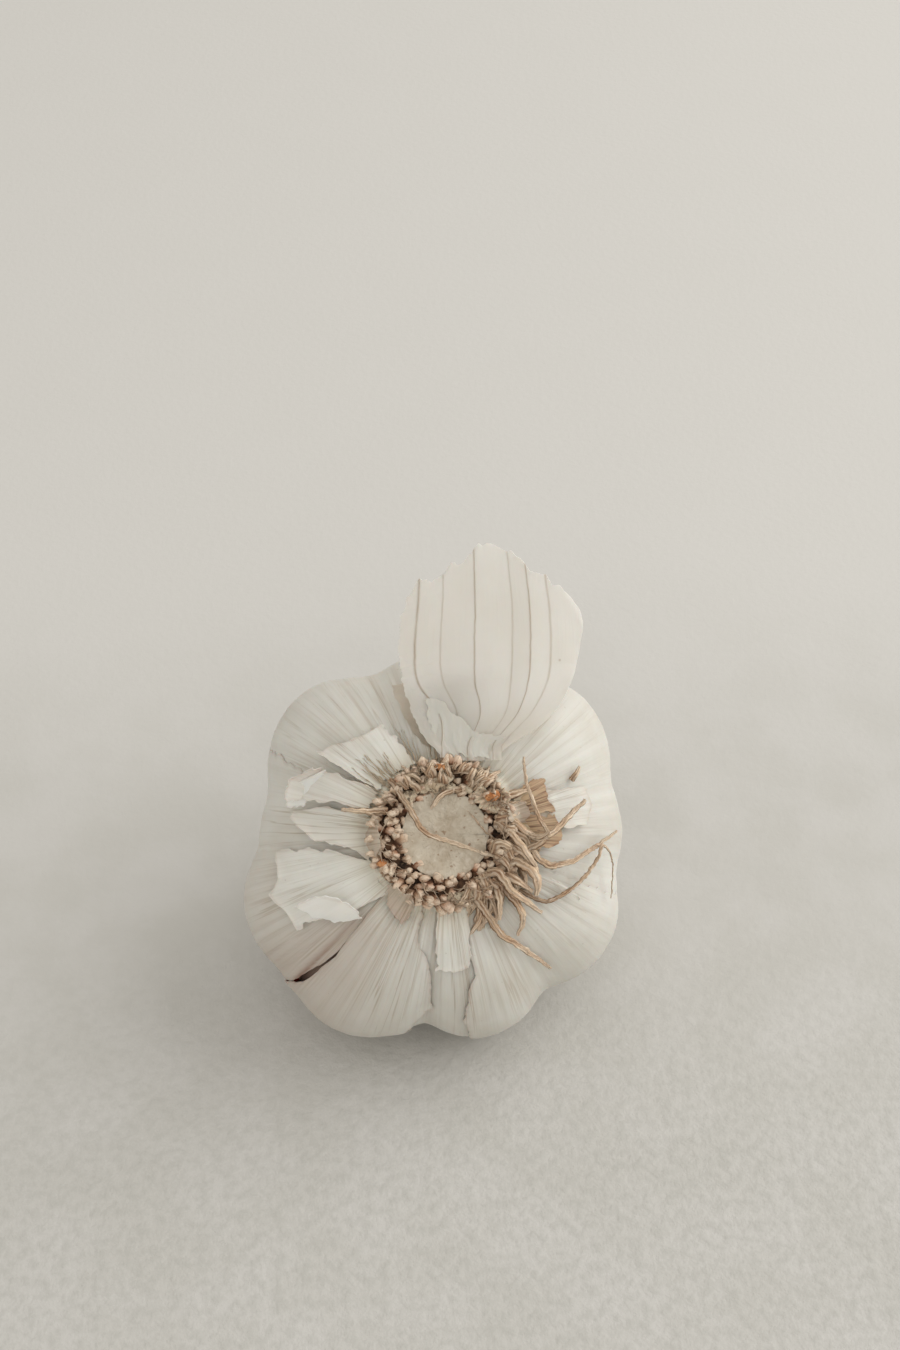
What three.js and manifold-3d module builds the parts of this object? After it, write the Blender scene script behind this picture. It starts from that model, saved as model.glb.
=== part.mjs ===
// A head of garlic at its real size, in millimetres, lying as it does on a table: tipped over onto its
// trimmed neck and the two lowest cloves, with the root end facing up and towards -Y.
// Nine cloves stand round the axis under papery skins that tore when the head was handled. The pale root
// plate closes one end, inside a ring of dried root stubs with some long roots left on it.
// Each piece is drawn with the head's axis upright along Z and the roots on top, then tipped over at the end.
import * as THREE from "three";
import { mergeVertices } from "three/addons/utils/BufferGeometryUtils.js";
import Module from "manifold-3d";

const wasm = await Module();
wasm.setup();
const { degToRad, radToDeg, lerp, smoothstep, clamp } = THREE.MathUtils;

// Driving dimensions
const lean = degToRad(39); // how far the axis leans back from upright
const paper = 0.6; // thickness of a papery skin
const air = 0.35; // left between pieces that lie on each other
const tearWidth = 0.5; // and between two torn edges
const pleatDepth = 0.3; // of the folds that run out from the root plate
const restDepth = 0.25; // how much the two lowest bulges are flattened where they rest
const plateRadius = 6.0; // the pale disc between the roots
const plateTop = 17.6;
const ringInner = 6.4;
const ringOuter = 10.3;
const ringFoot = 16.2; // underside of the root ring
const ringTop = 18.1;
const stubWidth = 1.6;
const meanReach = 27.4; // a clove's usual distance from the axis

// The cloves, counted anticlockwise as seen from the roots. angle is in degrees, reach is how far the
// clove's face stands from the axis, and bulge is the radius of that round face.
const cloves = [
  { angle: 2, reach: 26.8, bulge: 11.4 },
  { angle: 41, reach: 29.6, bulge: 12.6 },
  { angle: 90, reach: 27.4, bulge: 12.4 },
  { angle: 137, reach: 29.6, bulge: 12.4 },
  { angle: 176, reach: 26.6, bulge: 10.6 },
  { angle: 205, reach: 31.0, bulge: 11.0 },
  { angle: 236, reach: 31.9, bulge: 12.2 },
  { angle: 282, reach: 29.6, bulge: 10.6 },
  { angle: 323, reach: 29.2, bulge: 11.6 },
].map((clove) => ({ ...clove, angle: degToRad(clove.angle) }));

// The head's outline from the root plate's edge to the neck: share of the reach, and height above the
// equator
const outline = new THREE.SplineCurve(
  [
    [0.39, 15.7],
    [0.55, 15.2],
    [0.76, 12.4],
    [0.93, 6.9],
    [1.0, 0],
    [0.95, -7.2],
    [0.77, -13.6],
    [0.52, -18.2],
    [0.33, -21.4],
    [0.25, -25.6],
  ].map(([share, height]) => new THREE.Vector2(share, height)),
);
const equator = 4 / 9; // where along the outline the head is widest
const roundBelow = 0.2; // shares of the reach between which the lobes fade into a round neck
const lobedAbove = 0.62;
const valleyPower = 22; // how tightly the skin follows the valleys between the cloves

const turn = 2 * Math.PI;
const up = new THREE.Vector3(0, 0, 1);
const vec = (x, y, z) => new THREE.Vector3(x, y, z);

// A small seeded generator, so that the roots and tears fall the same way every time
function seeded(seed) {
  let state = seed;
  return (low, high) => {
    state = (state * 1664525 + 1013904223) % 4294967296;
    return lerp(low, high, state / 4294967296);
  };
}

// The value at a place from 0 to 1 along a list of evenly spaced numbers
function along(list, place) {
  const at = clamp(place, 0, 1) * (list.length - 1);
  const before = Math.min(Math.floor(at), list.length - 2);
  return lerp(list[before], list[before + 1], at - before);
}

// Distance from the axis to one clove's round face in a given direction
function faceDistance(clove, angle) {
  const off = angle - clove.angle;
  const centre = clove.reach - clove.bulge;
  const under = clove.bulge ** 2 - (centre * Math.sin(off)) ** 2;
  return Math.cos(off) > 0 && under > 0 ? centre * Math.cos(off) + Math.sqrt(under) : 0;
}

// Distance from the axis to the skin, which spans the valleys between neighbouring cloves
function skinDistance(angle) {
  const sum = cloves.reduce((total, clove) => total + faceDistance(clove, angle) ** valleyPower, 0);
  return sum ** (1 / valleyPower);
}

// The point of the skin in direction angle, at a place from 0 at the root plate to 1 at the neck
function skinPoint(angle, place) {
  const { x: share, y: height } = outline.getPoint(place);
  const lobed = smoothstep(share, roundBelow, lobedAbove);
  const radius = share * lerp(meanReach, skinDistance(angle), lobed);
  return vec(radius * Math.cos(angle), radius * Math.sin(angle), height);
}

// The same point raised off the skin
function raised(angle, place, lift) {
  const step = 0.004;
  const back = Math.min(place, 1 - step);
  const down = skinPoint(angle, back + step).sub(skinPoint(angle, back));
  const across = skinPoint(angle + step, place).sub(skinPoint(angle - step, place));
  return skinPoint(angle, place).addScaledVector(down.cross(across).normalize(), lift);
}

// The point raised off the skin, or off the root ring, that lies under (x, y) as seen from the roots
function over(x, y, lift) {
  const distance = Math.hypot(x, y);
  if (distance < ringOuter) return vec(x, y, ringTop + lift);
  const angle = Math.atan2(y, x);
  let [near, far] = [0, equator];
  for (let i = 0; i < 30; i++) {
    const middle = (near + far) / 2;
    const point = raised(angle, middle, lift);
    if (Math.hypot(point.x, point.y) < distance) near = middle;
    else far = middle;
  }
  return raised(angle, near, lift);
}

// A closed geometry turned into a solid that faces outwards
function solid(geometry) {
  const bare = new THREE.BufferGeometry().setAttribute("position", geometry.getAttribute("position"));
  if (geometry.index) bare.setIndex(geometry.index);
  const merged = mergeVertices(bare, 1e-4);
  const vertProperties = merged.attributes.position.array;
  const triVerts = new Uint32Array(merged.index.array);
  const made = new wasm.Manifold(new wasm.Mesh({ numProp: 3, vertProperties, triVerts }));
  if (made.volume() > 0) return made;
  for (let i = 0; i < triVerts.length; i += 3) {
    [triVerts[i + 1], triVerts[i + 2]] = [triVerts[i + 2], triVerts[i + 1]];
  }
  return new wasm.Manifold(new wasm.Mesh({ numProp: 3, vertProperties, triVerts }));
}

// A solid turned back into a geometry
function geometryOf(manifold) {
  const { vertProperties, triVerts } = manifold.getMesh();
  return new THREE.BufferGeometry()
    .setAttribute("position", new THREE.BufferAttribute(new Float32Array(vertProperties), 3))
    .setIndex(new THREE.BufferAttribute(new Uint32Array(triVerts), 1));
}

// A closed body lofted through rings that have the same number of points, with a flat end at each side
function loft(rings) {
  const count = rings[0].length;
  const points = rings.flat();
  const middles = [rings[0], rings.at(-1)].map((ring) =>
    ring.reduce((sum, point) => sum.add(point), vec(0, 0, 0)).divideScalar(count),
  );
  const faces = [];
  for (let r = 0; r + 1 < rings.length; r++) {
    for (let i = 0; i < count; i++) {
      const [a, b] = [r * count + i, r * count + ((i + 1) % count)];
      faces.push(a, b, b + count, a, b + count, a + count);
    }
  }
  const first = points.length;
  const last = (rings.length - 1) * count;
  for (let i = 0; i < count; i++) {
    const next = (i + 1) % count;
    faces.push(first, next, i, first + 1, last + i, last + next);
  }
  return solid(new THREE.BufferGeometry().setFromPoints([...points, ...middles]).setIndex(faces));
}

// A root along a route of points: a five-sided tube that thins to a share of its thickness, blunt at the tip
function root(route, thickness, tip) {
  const sides = 5;
  const last = route.length - 1;
  const end = route[last].clone().sub(route[last - 1]).setLength(0.3 * thickness).add(route[last]);
  const stations = route.map((point, i) => {
    return { point, radius: (thickness / 2) * lerp(1, tip, (i / last) ** 2) };
  });
  stations.push({ point: end, radius: 0.25 * thickness * tip });
  let side = vec(0.8, 0.5, 0.3);
  const rings = stations.map(({ point, radius }, i) => {
    const ahead = stations[Math.min(i + 1, last + 1)].point;
    const heading = ahead.clone().sub(stations[Math.max(i - 1, 0)].point).normalize();
    side = side.clone().addScaledVector(heading, -side.dot(heading)).normalize();
    const other = heading.clone().cross(side);
    return Array.from({ length: sides }, (_, k) =>
      point
        .clone()
        .addScaledVector(side, radius * Math.cos((turn * k) / sides))
        .addScaledVector(other, radius * Math.sin((turn * k) / sides)),
    );
  });
  return loft(rings);
}

// A sheet with two like faces. surface(u, v) is a point for u and v from 0 to 1, and the faces lie at two
// distances from it.
function sheet({ surface, columns, rows }, from = 0, to = paper) {
  const at = (i, j) => surface(i / columns, j / rows);
  const lower = [];
  const upper = [];
  for (let j = 0; j <= rows; j++) {
    for (let i = 0; i <= columns; i++) {
      const across = at(Math.min(i + 0.5, columns), j).sub(at(Math.max(i - 0.5, 0), j));
      const down = at(i, Math.min(j + 0.5, rows)).sub(at(i, Math.max(j - 0.5, 0)));
      const normal = across.cross(down).normalize();
      const outward = at(i, j).normalize().add(up);
      if (normal.dot(outward) < 0) normal.negate();
      lower.push(at(i, j).addScaledVector(normal, from));
      upper.push(at(i, j).addScaledVector(normal, to));
    }
  }
  const width = columns + 1;
  const count = lower.length;
  const faces = [];
  for (let j = 0; j < rows; j++) {
    for (let i = 0; i < columns; i++) {
      const a = j * width + i;
      const [b, c, d] = [a + 1, a + width + 1, a + width];
      faces.push(a, c, b, a, d, c);
      faces.push(a + count, b + count, c + count, a + count, c + count, d + count);
    }
  }
  const wall = (a, b) => faces.push(a, b, b + count, a, b + count, a + count);
  for (let i = 0; i < columns; i++) {
    wall(i, i + 1);
    wall(rows * width + i + 1, rows * width + i);
  }
  for (let j = 0; j < rows; j++) {
    wall((j + 1) * width, j * width);
    wall(j * width + columns, (j + 1) * width + columns);
  }
  return solid(new THREE.BufferGeometry().setFromPoints([...lower, ...upper]).setIndex(faces));
}

// The room that a sheet needs round it, so that the roots stay clear of it
function roomRound({ surface, columns, rows }) {
  const wider = (u, v) => surface(0.5 + 1.04 * (u - 0.5), v);
  return sheet({ surface: wider, columns, rows }, -air, paper + air);
}

// One clove: round outside, flat where it meets its neighbours, narrowing towards the neck
const cloveShare = 0.972; // the cloves are this much smaller than the skin round them
const cloveEnd = 0.8; // where along the outline they stop, just above the neck
function clove(number) {
  const count = cloves.length;
  const { angle, reach, bulge } = cloves[number];
  const halfway = (other) => (((other.angle - angle) % turn) + turn) % turn;
  const after = halfway(cloves[(number + 1) % count]) / 2;
  const before = Math.PI - halfway(cloves[(number + count - 1) % count]) / 2;
  const sides = 12;
  const levels = 8;
  const innermost = 1.2;
  const rings = Array.from({ length: levels + 1 }, (_, level) => {
    const { x: share, y: height } = outline.getPoint((cloveEnd * level) / levels);
    return Array.from({ length: sides }, (_, k) => {
      const round = (turn * k) / sides;
      const x = Math.max(cloveShare * share * (reach - bulge + bulge * Math.cos(round)), innermost);
      const y = cloveShare * share * bulge * Math.sin(round);
      const left = x * Math.tan(after) - air / 2 / Math.cos(after);
      const right = x * Math.tan(before) - air / 2 / Math.cos(before);
      return vec(x, clamp(y, -right, left), cloveShare * height).applyAxisAngle(up, angle);
    });
  });
  return loft(rings);
}

// The ragged lines along which the skins tore apart: directions in degrees, evenly spaced from the root
// plate to the neck. Two neighbouring skins share a line. Between the last two lines the skin is gone.
const skinRows = 12;
function tear(directions, seed) {
  const random = seeded(seed);
  const jags = Array.from({ length: skinRows + 1 }, () => random(-0.7, 0.7));
  return (place) => along(directions, place) + along(jags, place);
}
const tears = {
  upperLeft: tear([153, 154, 152, 151, 153, 152], 21),
  front: tear([249, 250, 261, 263, 256, 256, 257, 258, 258, 259, 260], 22),
  lower: tear([284, 283, 280, 276, 276, 280, 283, 283, 282, 282, 282], 23),
  right: tear([338, 337, 339, 338, 337, 338], 24),
  upperRight: tear([425, 426, 424, 425, 426], 25),
  leftOfGap: tear([219, 219, 217, 214, 212, 212, 213, 214, 215, 216, 216], 26),
  rightOfGap: tear([221, 222, 223.5, 224, 224, 223, 222, 221, 220, 220, 219], 27),
};
const clingingSkins = {
  skin_left: { from: tears.upperLeft, to: tears.leftOfGap, columns: 11 },
  skin_front: { from: tears.rightOfGap, to: tears.front, columns: 8 },
  skin_lower: { from: tears.front, to: tears.lower, columns: 5 },
  skin_lower_right: { from: tears.lower, to: tears.right, columns: 12 },
  skin_right: { from: tears.right, to: tears.upperRight, columns: 16 },
  skin_top: { from: tears.upperRight, to: (place) => tears.upperLeft(place) + 360, columns: 16 },
};
function clingingSkin({ from, to, columns }) {
  const surface = (u, v) => {
    const { x, y } = skinPoint(degToRad(from(v)), v);
    const half = radToDeg(tearWidth / 2 / Math.hypot(x, y));
    const direction = lerp(from(v) + half, to(v) - half, u);
    const fold = 1 - Math.abs(1 - ((Math.abs(u) * columns) % 2));
    const pleated = 1 - smoothstep(v, 0.1, 0.42) + smoothstep(v, 0.8, 1);
    return raised(degToRad(direction), v, pleatDepth * fold * pleated);
  };
  return { surface, columns, rows: skinRows };
}

// Torn flakes that lie over those skins: rows of corners running outwards from the roots, each corner with
// its place as seen from the roots and how far it curls up
const flakes = {
  flake_upper_left: [
    [[-10.4, 7.3, 1.0], [-11.4, 5.9, 1.0], [-12.0, 4.5, 1.0]],
    [[-14.0, 9.0, 1.0], [-15.2, 7.2, 1.1], [-16.4, 5.3, 1.0]],
    [[-16.9, 10.3, 1.1], [-18.8, 8.1, 1.2], [-20.3, 5.9, 1.1]],
    [[-18.9, 10.0, 2.9], [-21.7, 8.8, 3.2], [-22.7, 5.9, 3.0]],
  ],
  flake_left: [
    [[-12.1, 3.8, 0.0], [-12.4, 0.5, 0.0], [-12.1, -2.8, 0.0]],
    [[-16.0, 4.8, 0.0], [-15.9, 2.2, 0.2], [-15.2, -0.1, 0.2]],
    [[-19.4, 4.6, 0.0], [-19.2, 2.6, 0.3], [-18.9, 0.5, 0.6]],
    [[-21.5, 4.4, 0.0], [-22.0, 3.6, 0.4], [-21.2, 2.6, 0.8]],
  ],
  flake_lower_left: [
    [[-12.2, -4.0, 0.0], [-11.6, -6.0, 0.0], [-10.4, -7.6, 0.0], [-9.2, -9.0, 0.0]],
    [[-16.5, -1.6, 0.0], [-16.4, -5.0, 0.0], [-15.2, -8.0, 0.0], [-13.0, -10.0, 0.2]],
    [[-20.5, -1.0, 0.0], [-20.3, -5.0, 0.0], [-19.3, -8.6, 0.2], [-17.6, -10.4, 0.4]],
    [[-24.1, -0.8, 0.0], [-24.2, -5.5, 0.2], [-23.4, -9.0, 0.4], [-21.6, -11.4, 0.6]],
  ],
  flake_upper: [
    [[-4.0, 11.9, 0.0], [-6.6, 10.7, 0.0], [-8.9, 9.0, 0.0], [-10.3, 7.6, 0.0]],
    [[-6.2, 14.0, 0.0], [-9.4, 12.7, 0.2], [-12.4, 11.0, 0.0], [-13.9, 9.9, 0.0]],
    [[-8.5, 16.0, 0.2], [-12.5, 14.1, 0.3], [-15.6, 13.6, 0.3], [-17.5, 12.5, 0.3]],
  ],
  flake_bottom: [
    [[-1.8, -12.4, 0.0], [0.7, -12.6, 0.0], [3.0, -12.5, 0.0]],
    [[-1.9, -16.0, 0.0], [0.6, -16.3, 0.1], [3.0, -16.0, 0.0]],
    [[-1.8, -19.1, 0.1], [0.5, -19.5, 0.2], [2.9, -18.7, 0.1]],
  ],
  flake_right: [
    [[11.0, 6.6, 0.0], [12.3, 3.4, 0.0], [12.9, 0.2, 0.0]],
    [[16.1, 6.0, 0.0], [16.5, 3.2, 0.1], [16.1, 0.6, 0.1]],
    [[20.6, 6.6, 0.3], [21.4, 3.6, 0.5], [20.6, 0.6, 0.3]],
  ],
};
// the edge of the lower left flake that is folded back over it
const foldedEdge = [
  [[-12.6, -10.6, 0.4], [-15.4, -10.7, 0.4], [-18.2, -10.4, 0.4], [-21.2, -9.3, 0.7]],
  [[-13.4, -8.9, 1.9], [-15.6, -7.8, 2.3], [-17.6, -7.1, 2.4], [-20.9, -8.5, 1.4]],
];
function flake(corners) {
  const split = 2; // facets between two corners
  const surface = (u, v) => {
    const value = (k) => along(corners.map((row) => along(row.map((corner) => corner[k]), u)), v);
    return over(value(0), value(1), paper + pleatDepth + air + value(2));
  };
  return { surface, columns: split * (corners[0].length - 1), rows: split * (corners.length - 1) };
}

// The flap that stands away from the head at the top. Its edges run from the root plate to the tip.
const flapFoot = 12.2;
const flapTip = 41.0;
const flapLift = 17.1;
const flapRise = 3.4; // how much higher the tip stands
const flapMiddle = 7.4;
const flapHalf = 13; // half its greatest width
const flapCup = 2.8; // how far the edges are set back there
const flapLeft = [-0.6, -2.7, -3.9, -5.0, -5.4, -5.4, -4.0, -0.3, 5.2];
const flapRight = [9.1, 12.3, 16.6, 18.6, 19.9, 20.5, 19.4, 14.7, 8.6];
const flapRows = 12;
const flapSurface = (() => {
  const random = seeded(31);
  const nicks = [0, 1].map(() => Array.from({ length: flapRows + 1 }, () => random(-0.4, 0.4)));
  return (u, v) => {
    const x = lerp(along(flapLeft, v) + along(nicks[0], v), along(flapRight, v) + along(nicks[1], v), u);
    const back = flapCup * ((x - flapMiddle) / flapHalf) ** 2 * Math.min(1, 2.4 * v);
    return vec(x, lerp(flapFoot - 0.8 * u, flapTip, v), flapLift + flapRise * v ** 1.2 - back);
  };
})();
const standingFlap = { surface: flapSurface, columns: 8, rows: flapRows };

// a scrap of skin over the foot of the flap
const footScrap = {
  surface: (u, v) => {
    const reach = 0.2 - 0.07 * Math.abs(2 * u - 0.8);
    const point = flapSurface(lerp(0.12, 0.88, u), 0.012 + reach * v);
    return point.add(vec(0, 0, paper + air));
  },
  columns: 6,
  rows: 3,
};

// The root plate: a pale disc, slightly hollow on top
function rootPlate() {
  const profile = [
    [0, 15.9],
    [plateRadius, 15.9],
    [plateRadius, plateTop - 0.3],
    [plateRadius - 0.8, plateTop],
    [plateRadius * 0.5, plateTop - 0.4],
    [0, plateTop - 0.5],
  ].map(([radius, height]) => new THREE.Vector2(radius, height));
  return solid(new THREE.LatheGeometry(profile, 36).rotateX(Math.PI / 2));
}

// The long roots left on the ring: thickness in millimetres, and points as seen from the roots with their
// lift over the ring or the skin
const longRoots = [
  // across the root plate
  {
    thickness: 0.75,
    route: [
      [-8.2, 9.1, 2.8], [-6.8, 7.7, 0.6], [-6.0, 5.9, 0.1], [-4.7, 3.6, 0.3], [-3.1, 0.8, 0.2],
      [-1.3, -0.2, 0.2], [1.2, -1.2, 0.2], [4.7, -2.6, 0.3], [6.9, -3.4, 0.1],
    ],
  },
  { thickness: 0.9, route: [[2.7, 6.5, 0.1], [0.9, 6.1, 0.5], [-0.5, 5.4, 0.6], [-1.9, 3.8, 0.3]] },
  { thickness: 0.6, route: [[6.9, -0.9, 0.1], [5.3, 0.8, 0.4], [3.4, 3.3, 0.2]] },
  // combed out to the right
  {
    thickness: 1.3,
    route: [
      [8.3, 0.6, 0.5], [11.2, -1.0, 2.8], [13.0, -3.8, 2.4], [15.5, -4.9, 1.9], [19.5, -3.7, 2.2],
      [25.2, -0.2, 2.4],
    ],
  },
  {
    thickness: 1.2,
    route: [[6.9, 3.4, 0.2], [8.9, 2.7, 0.9], [9.9, 1.4, 1.3], [12.7, -0.8, 3.2], [14.6, -1.1, 3.3]],
  },
  { thickness: 1.3, route: [[6.9, -3.0, 0.1], [7.4, -1.5, 1.1], [8.8, -2.0, 1.3], [9.7, -3.3, 0.4]] },
  {
    thickness: 1.7,
    route: [[7.2, -4.8, 0.2], [9.4, -4.1, 1.3], [11.7, -5.1, 3.2], [12.8, -7.0, 2.6], [12.7, -9.0, 1.7]],
  },
  { thickness: 1.2, route: [[7.9, -2.2, 0.7], [9.9, -2.3, 1.3], [11.8, -3.9, 2.9], [13.0, -5.4, 1.8]] },
  { thickness: 1.1, route: [[7.3, 1.8, 0.5], [9.1, 0.0, 1.3], [11.3, -2.7, 3.9], [12.6, -5.0, 3.2]] },
  { thickness: 1.2, route: [[5.8, -5.7, 0.5], [7.2, -5.7, 1.3], [9.4, -8.4, 3.0], [13.3, -11.5, 2.1]] },
  { thickness: 1.3, route: [[8.0, -5.7, 0.3], [10.0, -6.9, 2.6], [12.1, -8.5, 1.8]] },
  { thickness: 1.1, route: [[9.4, -3.4, 0.6], [12.1, -2.3, 2.8], [15.9, 0.3, 3.3], [20.3, 4.3, 3.6]] },
  {
    thickness: 0.7,
    route: [
      [9.8, 0.6, 0.2], [12.8, -0.8, 3.6], [14.4, -0.2, 3.7], [13.3, 2.2, 3.8], [12.4, 5.0, 3.9],
      [11.8, 7.2, 3.5], [11.6, 10.6, 2.8],
    ],
  },
  {
    thickness: 0.75,
    route: [
      [9.2, -7.2, 0.0], [13.7, -9.9, 1.5], [18.1, -8.1, 1.8], [21.4, -4.9, 2.6], [22.9, -2.3, 3.0],
      [24.4, -4.8, 2.4], [24.0, -9.9, 1.3],
    ],
  },
  // hanging down
  { thickness: 1.1, route: [[6.7, -7.0, 0.2], [7.3, -9.0, 2.6], [7.3, -12.4, 1.7]] },
  { thickness: 1.1, route: [[7.6, -6.9, 0.1], [10.3, -11.0, 2.4], [10.5, -12.9, 1.7], [9.8, -14.6, 1.5]] },
  {
    thickness: 1.0,
    route: [[3.6, -8.6, 0.1], [5.1, -10.9, 2.4], [7.4, -14.2, 1.7], [10.5, -16.4, 1.4], [14.8, -19.6, 1.4]],
  },
  // to the left, over the torn flakes
  { thickness: 1.0, route: [[-8.0, 3.8, 0.4], [-10.6, 3.8, 3.2], [-12.6, 3.9, 3.9], [-14.4, 4.1, 3.8]] },
];

// The ring of roots: a low round base, three rows of knobby stubs and the long roots
const stubRows = [
  { radius: 7.3, count: 23, height: 1.6, splay: 0.1 },
  { radius: 8.7, count: 27, height: 1.7, splay: 0.3 },
  { radius: 9.9, count: 30, height: 1.5, splay: 0.8 },
];
function rootRing(sheets) {
  const base = [
    [ringInner, ringFoot],
    [ringOuter, ringFoot],
    [ringOuter + 0.4, ringFoot + 0.8],
    [ringOuter - 0.8, ringTop - 0.2],
    [ringInner + 1.2, ringTop],
    [ringInner, ringTop - 0.6],
    [ringInner, ringFoot],
  ].map(([radius, height]) => new THREE.Vector2(radius, height));
  const pieces = [solid(new THREE.LatheGeometry(base, 32).rotateX(Math.PI / 2))];
  const random = seeded(5);
  for (const { radius, count, height, splay } of stubRows) {
    for (let i = 0; i < count; i++) {
      const angle = (turn * (i + random(0.15, 0.85))) / count;
      const bent = angle + random(-0.5, 0.5);
      const outward = vec(Math.cos(bent), Math.sin(bent), 0).multiplyScalar(splay * random(0.6, 1.4));
      const length = height * random(0.8, 1.3);
      const foot = vec(radius * Math.cos(angle), radius * Math.sin(angle), ringTop - 0.9);
      const end = up.clone().addScaledVector(outward, 1.3).setLength(0.6 + length).add(foot);
      pieces.push(root([foot, end], stubWidth * random(0.8, 1.15), 0.95));
    }
  }
  for (const { thickness, route } of longRoots) {
    const line = new THREE.CatmullRomCurve3(route.map(([x, y, lift]) => over(x, y, lift)));
    pieces.push(root(line.getPoints(Math.ceil(1.5 * route.length)), thickness, 0.6));
  }
  const cleared = wasm.Manifold.union(pieces).subtract(wasm.Manifold.union(sheets.map(roomRound)));
  return cleared.decompose().sort((a, b) => b.volume() - a.volume())[0];
}

// The dried neck: pleated leaf bases, trimmed short
function neck() {
  const pleats = 14;
  const rings = [
    [6.6, -20.9],
    [5.6, -23.4],
    [5.2, -25.6],
    [5.5, -27.4],
  ].map(([radius, height]) =>
    Array.from({ length: 2 * pleats }, (_, k) => {
      const folded = radius * (k % 2 ? 0.88 : 1.02);
      const angle = (turn * k) / (2 * pleats);
      return vec(folded * Math.cos(angle), folded * Math.sin(angle), height);
    }),
  );
  return loft(rings);
}

const materialOf = (color, roughness) => new THREE.MeshStandardMaterial({ color, roughness, metalness: 0 });
const skinWhite = materialOf(0xe2ddd1, 0.62);
const flapWhite = materialOf(0xeae6dd, 0.5);
const clovePink = materialOf(0xcfc0b2, 0.55);
const plateCream = materialOf(0xd3c8b4, 0.9);
const rootTan = materialOf(0xb89a76, 0.9);
const neckStraw = materialOf(0xd8cdb6, 0.8);

const skinSheets = Object.fromEntries(
  Object.entries(clingingSkins).map(([name, skin]) => [name, clingingSkin(skin)]),
);
const flakeSheets = Object.fromEntries(
  Object.entries(flakes).map(([name, corners]) => [name, flake(corners)]),
);
const sheets = { ...skinSheets, ...flakeSheets, flap_foot_scrap: footScrap };

// All pieces upright, before the head is tipped over
const bodyOf = (name) => {
  const body = sheet(sheets[name]);
  return name === "flake_lower_left" ? body.add(sheet(flake(foldedEdge))) : body;
};
const pieces = [
  ...cloves.map((_, i) => ({ name: `clove_${i + 1}`, body: clove(i), material: clovePink })),
  ...Object.keys(sheets).map((name) => ({ name, body: bodyOf(name), material: skinWhite })),
  { name: "standing_flap", body: sheet(standingFlap), material: flapWhite },
  { name: "root_plate", body: rootPlate(), material: plateCream },
  { name: "root_ring", body: rootRing([...Object.values(sheets), standingFlap]), material: rootTan },
  { name: "neck", body: neck(), material: neckStraw },
];

// The head lies on the bulges of its two lowest cloves and on the neck, each flattened a little
const lowestOf = (geometry) => {
  geometry.computeBoundingBox();
  return geometry.boundingBox.min.z;
};
for (const piece of pieces) piece.geometry = geometryOf(piece.body).rotateX(lean);
const bulges = pieces.filter(({ name }) => ["skin_front", "skin_lower"].includes(name));
const floor = Math.max(...bulges.map(({ geometry }) => lowestOf(geometry))) + restDepth;
const ground = new THREE.BoxGeometry(200, 200, 40).translate(0, 0, -20);
const garlic = new THREE.Group();
for (const { name, geometry, material } of pieces) {
  geometry.translate(0, 0, -floor);
  const meets = lowestOf(geometry) < 0;
  const trimmed = meets ? geometryOf(solid(geometry).subtract(solid(ground))) : geometry;
  const mesh = new THREE.Mesh(trimmed, material);
  mesh.name = name;
  garlic.add(mesh);
}

// The origin is on the table, under the middle of the whole head
const box = new THREE.Box3().setFromObject(garlic);
const middle = box.getCenter(vec(0, 0, 0));
garlic.position.set(-middle.x, -middle.y, 0);

export default garlic;
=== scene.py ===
from math import cos, pi, radians, sin, tan

import bmesh
import bpy
import numpy as np
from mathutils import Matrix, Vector


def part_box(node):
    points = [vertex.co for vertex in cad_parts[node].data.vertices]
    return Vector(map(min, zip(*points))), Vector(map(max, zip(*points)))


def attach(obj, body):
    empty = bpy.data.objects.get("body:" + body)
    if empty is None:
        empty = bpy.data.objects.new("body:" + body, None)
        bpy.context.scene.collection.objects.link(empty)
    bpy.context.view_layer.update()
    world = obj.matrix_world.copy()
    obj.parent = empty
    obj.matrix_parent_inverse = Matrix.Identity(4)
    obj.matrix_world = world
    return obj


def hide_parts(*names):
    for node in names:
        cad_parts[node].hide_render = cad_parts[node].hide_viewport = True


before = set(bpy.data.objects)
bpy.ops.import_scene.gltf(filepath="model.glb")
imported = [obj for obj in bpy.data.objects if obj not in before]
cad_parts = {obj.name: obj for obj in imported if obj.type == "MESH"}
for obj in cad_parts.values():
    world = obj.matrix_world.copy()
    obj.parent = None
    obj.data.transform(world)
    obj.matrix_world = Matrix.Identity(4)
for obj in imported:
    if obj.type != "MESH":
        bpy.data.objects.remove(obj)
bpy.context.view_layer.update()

# A head of garlic that lies tipped over on its neck, root end up. Shapes are worked out upright, in
# millimetres, with the axis along Z and the roots on top. onTable() tips them to where the frame has them.

mm = 0.001

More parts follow.
